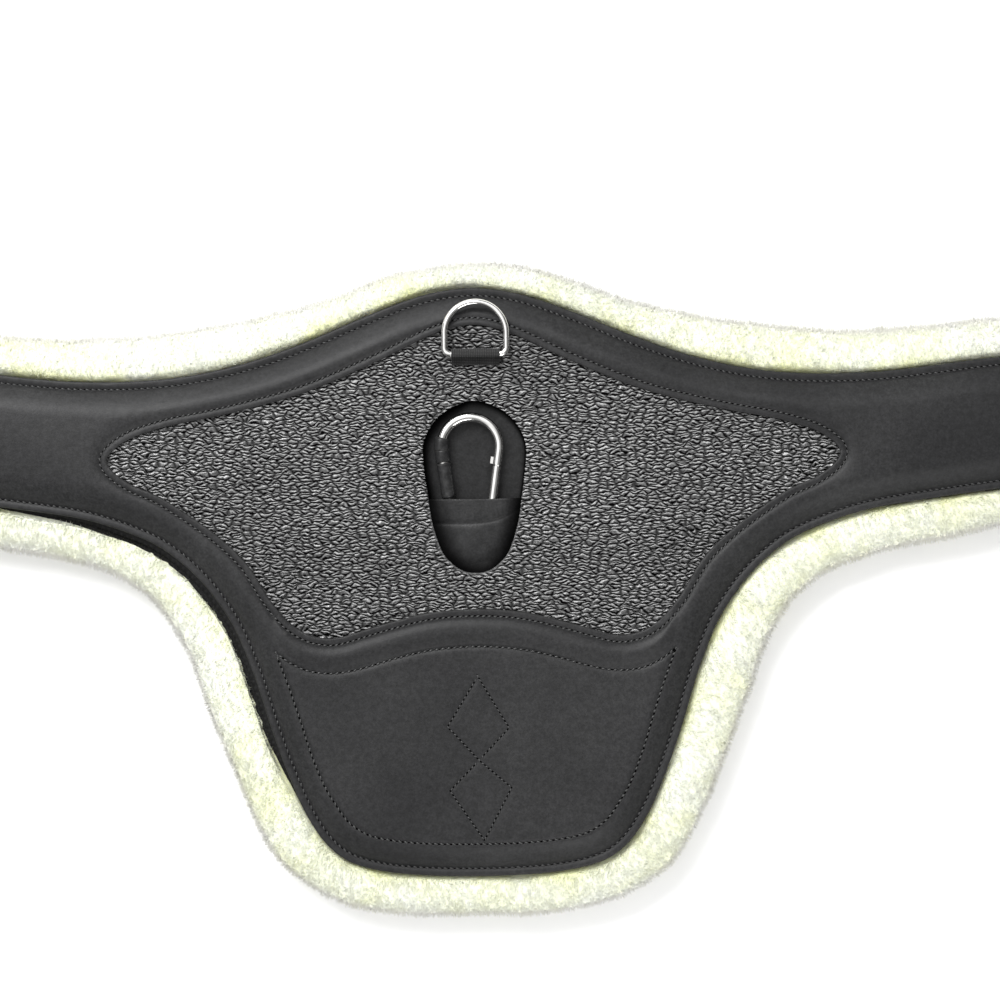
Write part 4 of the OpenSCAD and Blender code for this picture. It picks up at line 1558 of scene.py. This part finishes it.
def build_ring_webbing():
    """The D-ring's webbing: one wrap over the bar, both tails down into the grained leather."""
    bar_x, bar_y, bar_z = joint_place("d_ring_flip")
    low = Z_INLAY - 0.85
    front, back = bar_y - 6.3, bar_y - 2.0
    path = [(front + 3.2, low), (front + 1.6, low + 0.35)]
    path += [(front + 0.5, low + 1.2), (front + 0.3, Z_GRAIN + 0.1)]
    path += [(bar_y + y, bar_z + z) for y, z in arc(2.82, -50, 205, 40)]
    path += [(back - 0.1, Z_GRAIN + 0.2), (back, Z_GRAIN - 0.6)]
    path += [(back + 0.3, low + 1.2), (back + 1.0, low + 0.4)]
    verts, faces = strap(path, 30.0, 1.4, across=100, edge=0.7, rib_height=0.14, rib_pitch=1.2)
    verts = np.column_stack([verts[:, 1] + bar_x, verts[:, 0], verts[:, 2]])
    webbing = make(
        "d_ring_webbing", (verts, faces), WEBBING, "webbing", "girth", ("d_ring_loop",),
        outward=True,
    )
    # painted shade on the loop's lower side, which faces away from the key light
    mark(webbing, "deep", 0.82 * ease((bar_y - 1.0 - plan(webbing)[:, 1]) / 1.6))


PLY_Z = 1.85  # middle of each ply of the chape, from the bar's height


def build_elastic(key, side, bar_x, middle_y, bar_z):
    """Elastic that rises from the girth to the buckle's bar."""
    x = np.concatenate([
        np.linspace(456, 482, 8), np.linspace(483, 524, 26), np.linspace(525, bar_x - 12, 12)
    ])
    rise = np.clip((x - 484) / 38, 0, 1)
    low = Z_WEB + 0.85
    z = low + (bar_z - low) * (0.5 - 0.5 * np.cos(math.pi * rise))
    verts, faces = strap(
        np.column_stack([x, z]), 30.0, 1.6, across=40, edge=0.6, rib_height=0.07, rib_pitch=3.0
    )
    verts = verts * [side, 1, 1] + [0, middle_y, 0]
    elastic = make(
        key + "_elastic_web", (verts, faces), ELASTIC, "elastic", None, (key + "_elastic",),
        outward=True,
    )
    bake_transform(elastic)


def chape_swell(x, y):
    """How far the chape swells over the elastic; x is from the bar and y from the middle."""
    return 0.35 * bell(x + 20, 8) * np.clip(1 - (np.abs(y) / 12.5) ** 4, 0, 1)


def build_chape(key, side, bar_x, middle_y, bar_z):
    """Leather folded round the buckle's bar, with a slot for the tongue, and its stitches."""
    fold = [(x, 1.9) for x in np.linspace(-12, -4.2, 6)]
    fold += arc(2.07 + 0.88, -60, 240, 30)
    fold += [(x, -1.9) for x in np.linspace(-4.2, -12, 6)]
    shapes = []
    for y in (-7.75, 7.75):
        verts, faces = strap(fold, 9.5, 1.66, across=8, edge=0.5)
        shapes.append((verts + [0, y, 0], faces))
    for sign in (1, -1):
        path = [(x, sign * PLY_Z) for x in np.linspace(-34, -9.5, 22)]
        verts, faces = strap(path, 25.0, 1.7, across=18, edge=0.6)
        outer = np.sign(verts[:, 2] - sign * PLY_Z) == sign
        verts[:, 2] += sign * chape_swell(verts[:, 0], verts[:, 1]) * outer
        shapes.append((verts, faces))
    verts, faces = joined(shapes)
    verts = (verts + [bar_x, middle_y, bar_z]) * [side, 1, 1]
    body = key + "_end"
    make(
        key + "_chape_leather", (verts, faces), LEATHER, "smooth_leather", body,
        (key + "_chape",), outward=True,
    )
    x0, x1 = side * (bar_x - 31.5), side * (bar_x - 11.5)
    y0, y1 = middle_y - 9.8, middle_y + 9.8

    def height(points):
        swell = chape_swell(np.abs(points[:, 0]) - bar_x, points[:, 1] - middle_y)
        return bar_z + 2.7 + swell

    seam = polygon([(x0, y0), (x1, y0), (x1, y1), (x0, y1)])
    name = key + "_chape_stitching"
    sew(name, [(seam, 1)], height, pitch=2.9, radius=0.36, lift=0.05, body=body)


def build_buckle_straps():
    for side_name, side in (("left", -1), ("right", 1)):
        for end in ("front", "rear"):
            key = f"{side_name}_{end}"
            lo, hi = cad_box(key + "_elastic")
            bar = joint_place(key + "_buckle")
            place = (key, side, abs(bar[0]), (lo[1] + hi[1]) / 2, bar[2])
            build_elastic(*place)
            build_chape(*place)


# ------------------------------------------------------------------ floor, light and camera
def build_floor():
    bpy.ops.mesh.primitive_plane_add(size=14, location=(0, 0, -0.0004))
    floor = bpy.context.object
    floor.name = "studio_floor"
    shader = start_material("studio_paper", 0.93, roughness=0.9, specular=0.05)
    cloud = shader.add("TexNoise", Scale=6.0).outputs["Fac"]
    paper = shader.surface(Base_Color=shader.ramp(cloud, (0.3, 0.92), (0.7, 0.94)))
    floor.data.materials.append(paper)


def build_world():
    """Even light for diffuse and camera rays, and a banded sky for reflections."""
    world = bpy.data.worlds.new("studio")
    bpy.context.scene.world = world
    shader = Shader(world)
    direction = shader.add("TexCoord").outputs["Generated"]
    height = shader.add("SeparateXYZ", direction).outputs["Z"]
    sky = shader.ramp(
        shader.remap(height, between=(0, 1), to=(0, 1)),
        (0.0, 0.30), (0.18, 0.34), (0.26, 0.05), (0.48, 0.06),
        (0.64, 0.50), (0.80, 0.90), (1.0, 0.96),
    )
    # brighter towards -X and +Y, so the sheen falls off to the right
    tilt = shader.add("VectorMath", direction, (-2.8, 2.8, 0), operation="DOT_PRODUCT")
    strength = shader.math("ADD", tilt.outputs["Value"], 1.0)
    strength = shader.math("MAXIMUM", strength, 0.32)
    strength = shader.math("MINIMUM", strength, 1.45)
    banded = fill(shader.tree.nodes["Background"], Color=sky, Strength=strength)
    plain = shader.add("Background", Color=rgba(0.78))
    ray = shader.add("LightPath").outputs
    use_plain = shader.math("MAXIMUM", ray["Is Diffuse Ray"], ray["Is Camera Ray"])
    both = shader.add("MixShader", use_plain, banded.outputs[0], plain.outputs[0])
    fill(shader.tree.nodes["World Output"], Surface=both.outputs[0])


def area_light(name, location, target, size, size_y, power):
    data = bpy.data.lights.new(name, "AREA")
    data.shape = "RECTANGLE"
    data.size = size
    data.size_y = size_y
    data.energy = power
    light = bpy.data.objects.new(name, data)
    bpy.context.scene.collection.objects.link(light)
    light.location = location
    aim = Vector(target) - Vector(location)
    light.rotation_euler = aim.to_track_quat("-Z", "Y").to_euler()


def build_camera():
    """A camera straight above, which sees frame_width metres at the height of the face."""
    frame_width = 0.620
    scene = bpy.context.scene
    data = bpy.data.cameras.new("camera")
    data.lens = 85
    data.sensor_width = 36
    data.clip_end = 50
    camera = bpy.data.objects.new("camera", data)
    scene.collection.objects.link(camera)
    distance = frame_width * data.lens / data.sensor_width
    camera.location = (0.0161, 0.0555, Z_FACE * MM + distance)
    camera.rotation_euler = (0, 0, math.radians(-0.7))
    scene.camera = camera
    scene.view_settings.view_transform = "Standard"
    scene.view_settings.look = "None"


dress_metal_parts()
build_leather()
build_padding()
build_panel()
sew_leather()
build_liner_sheets()
build_tapes()
build_fleece()
build_recess()
build_pocket()
build_keepers()
build_ring_webbing()
build_buckle_straps()
build_floor()
build_world()
area_light("key", (-0.75, 1.35, 1.45), target=(0, 0.03, 0), size=1.5, size_y=0.8, power=42)
area_light("fill", (0.5, -1.5, 1.2), target=(0, 0, 0), size=1.2, size_y=0.6, power=13)
build_camera()
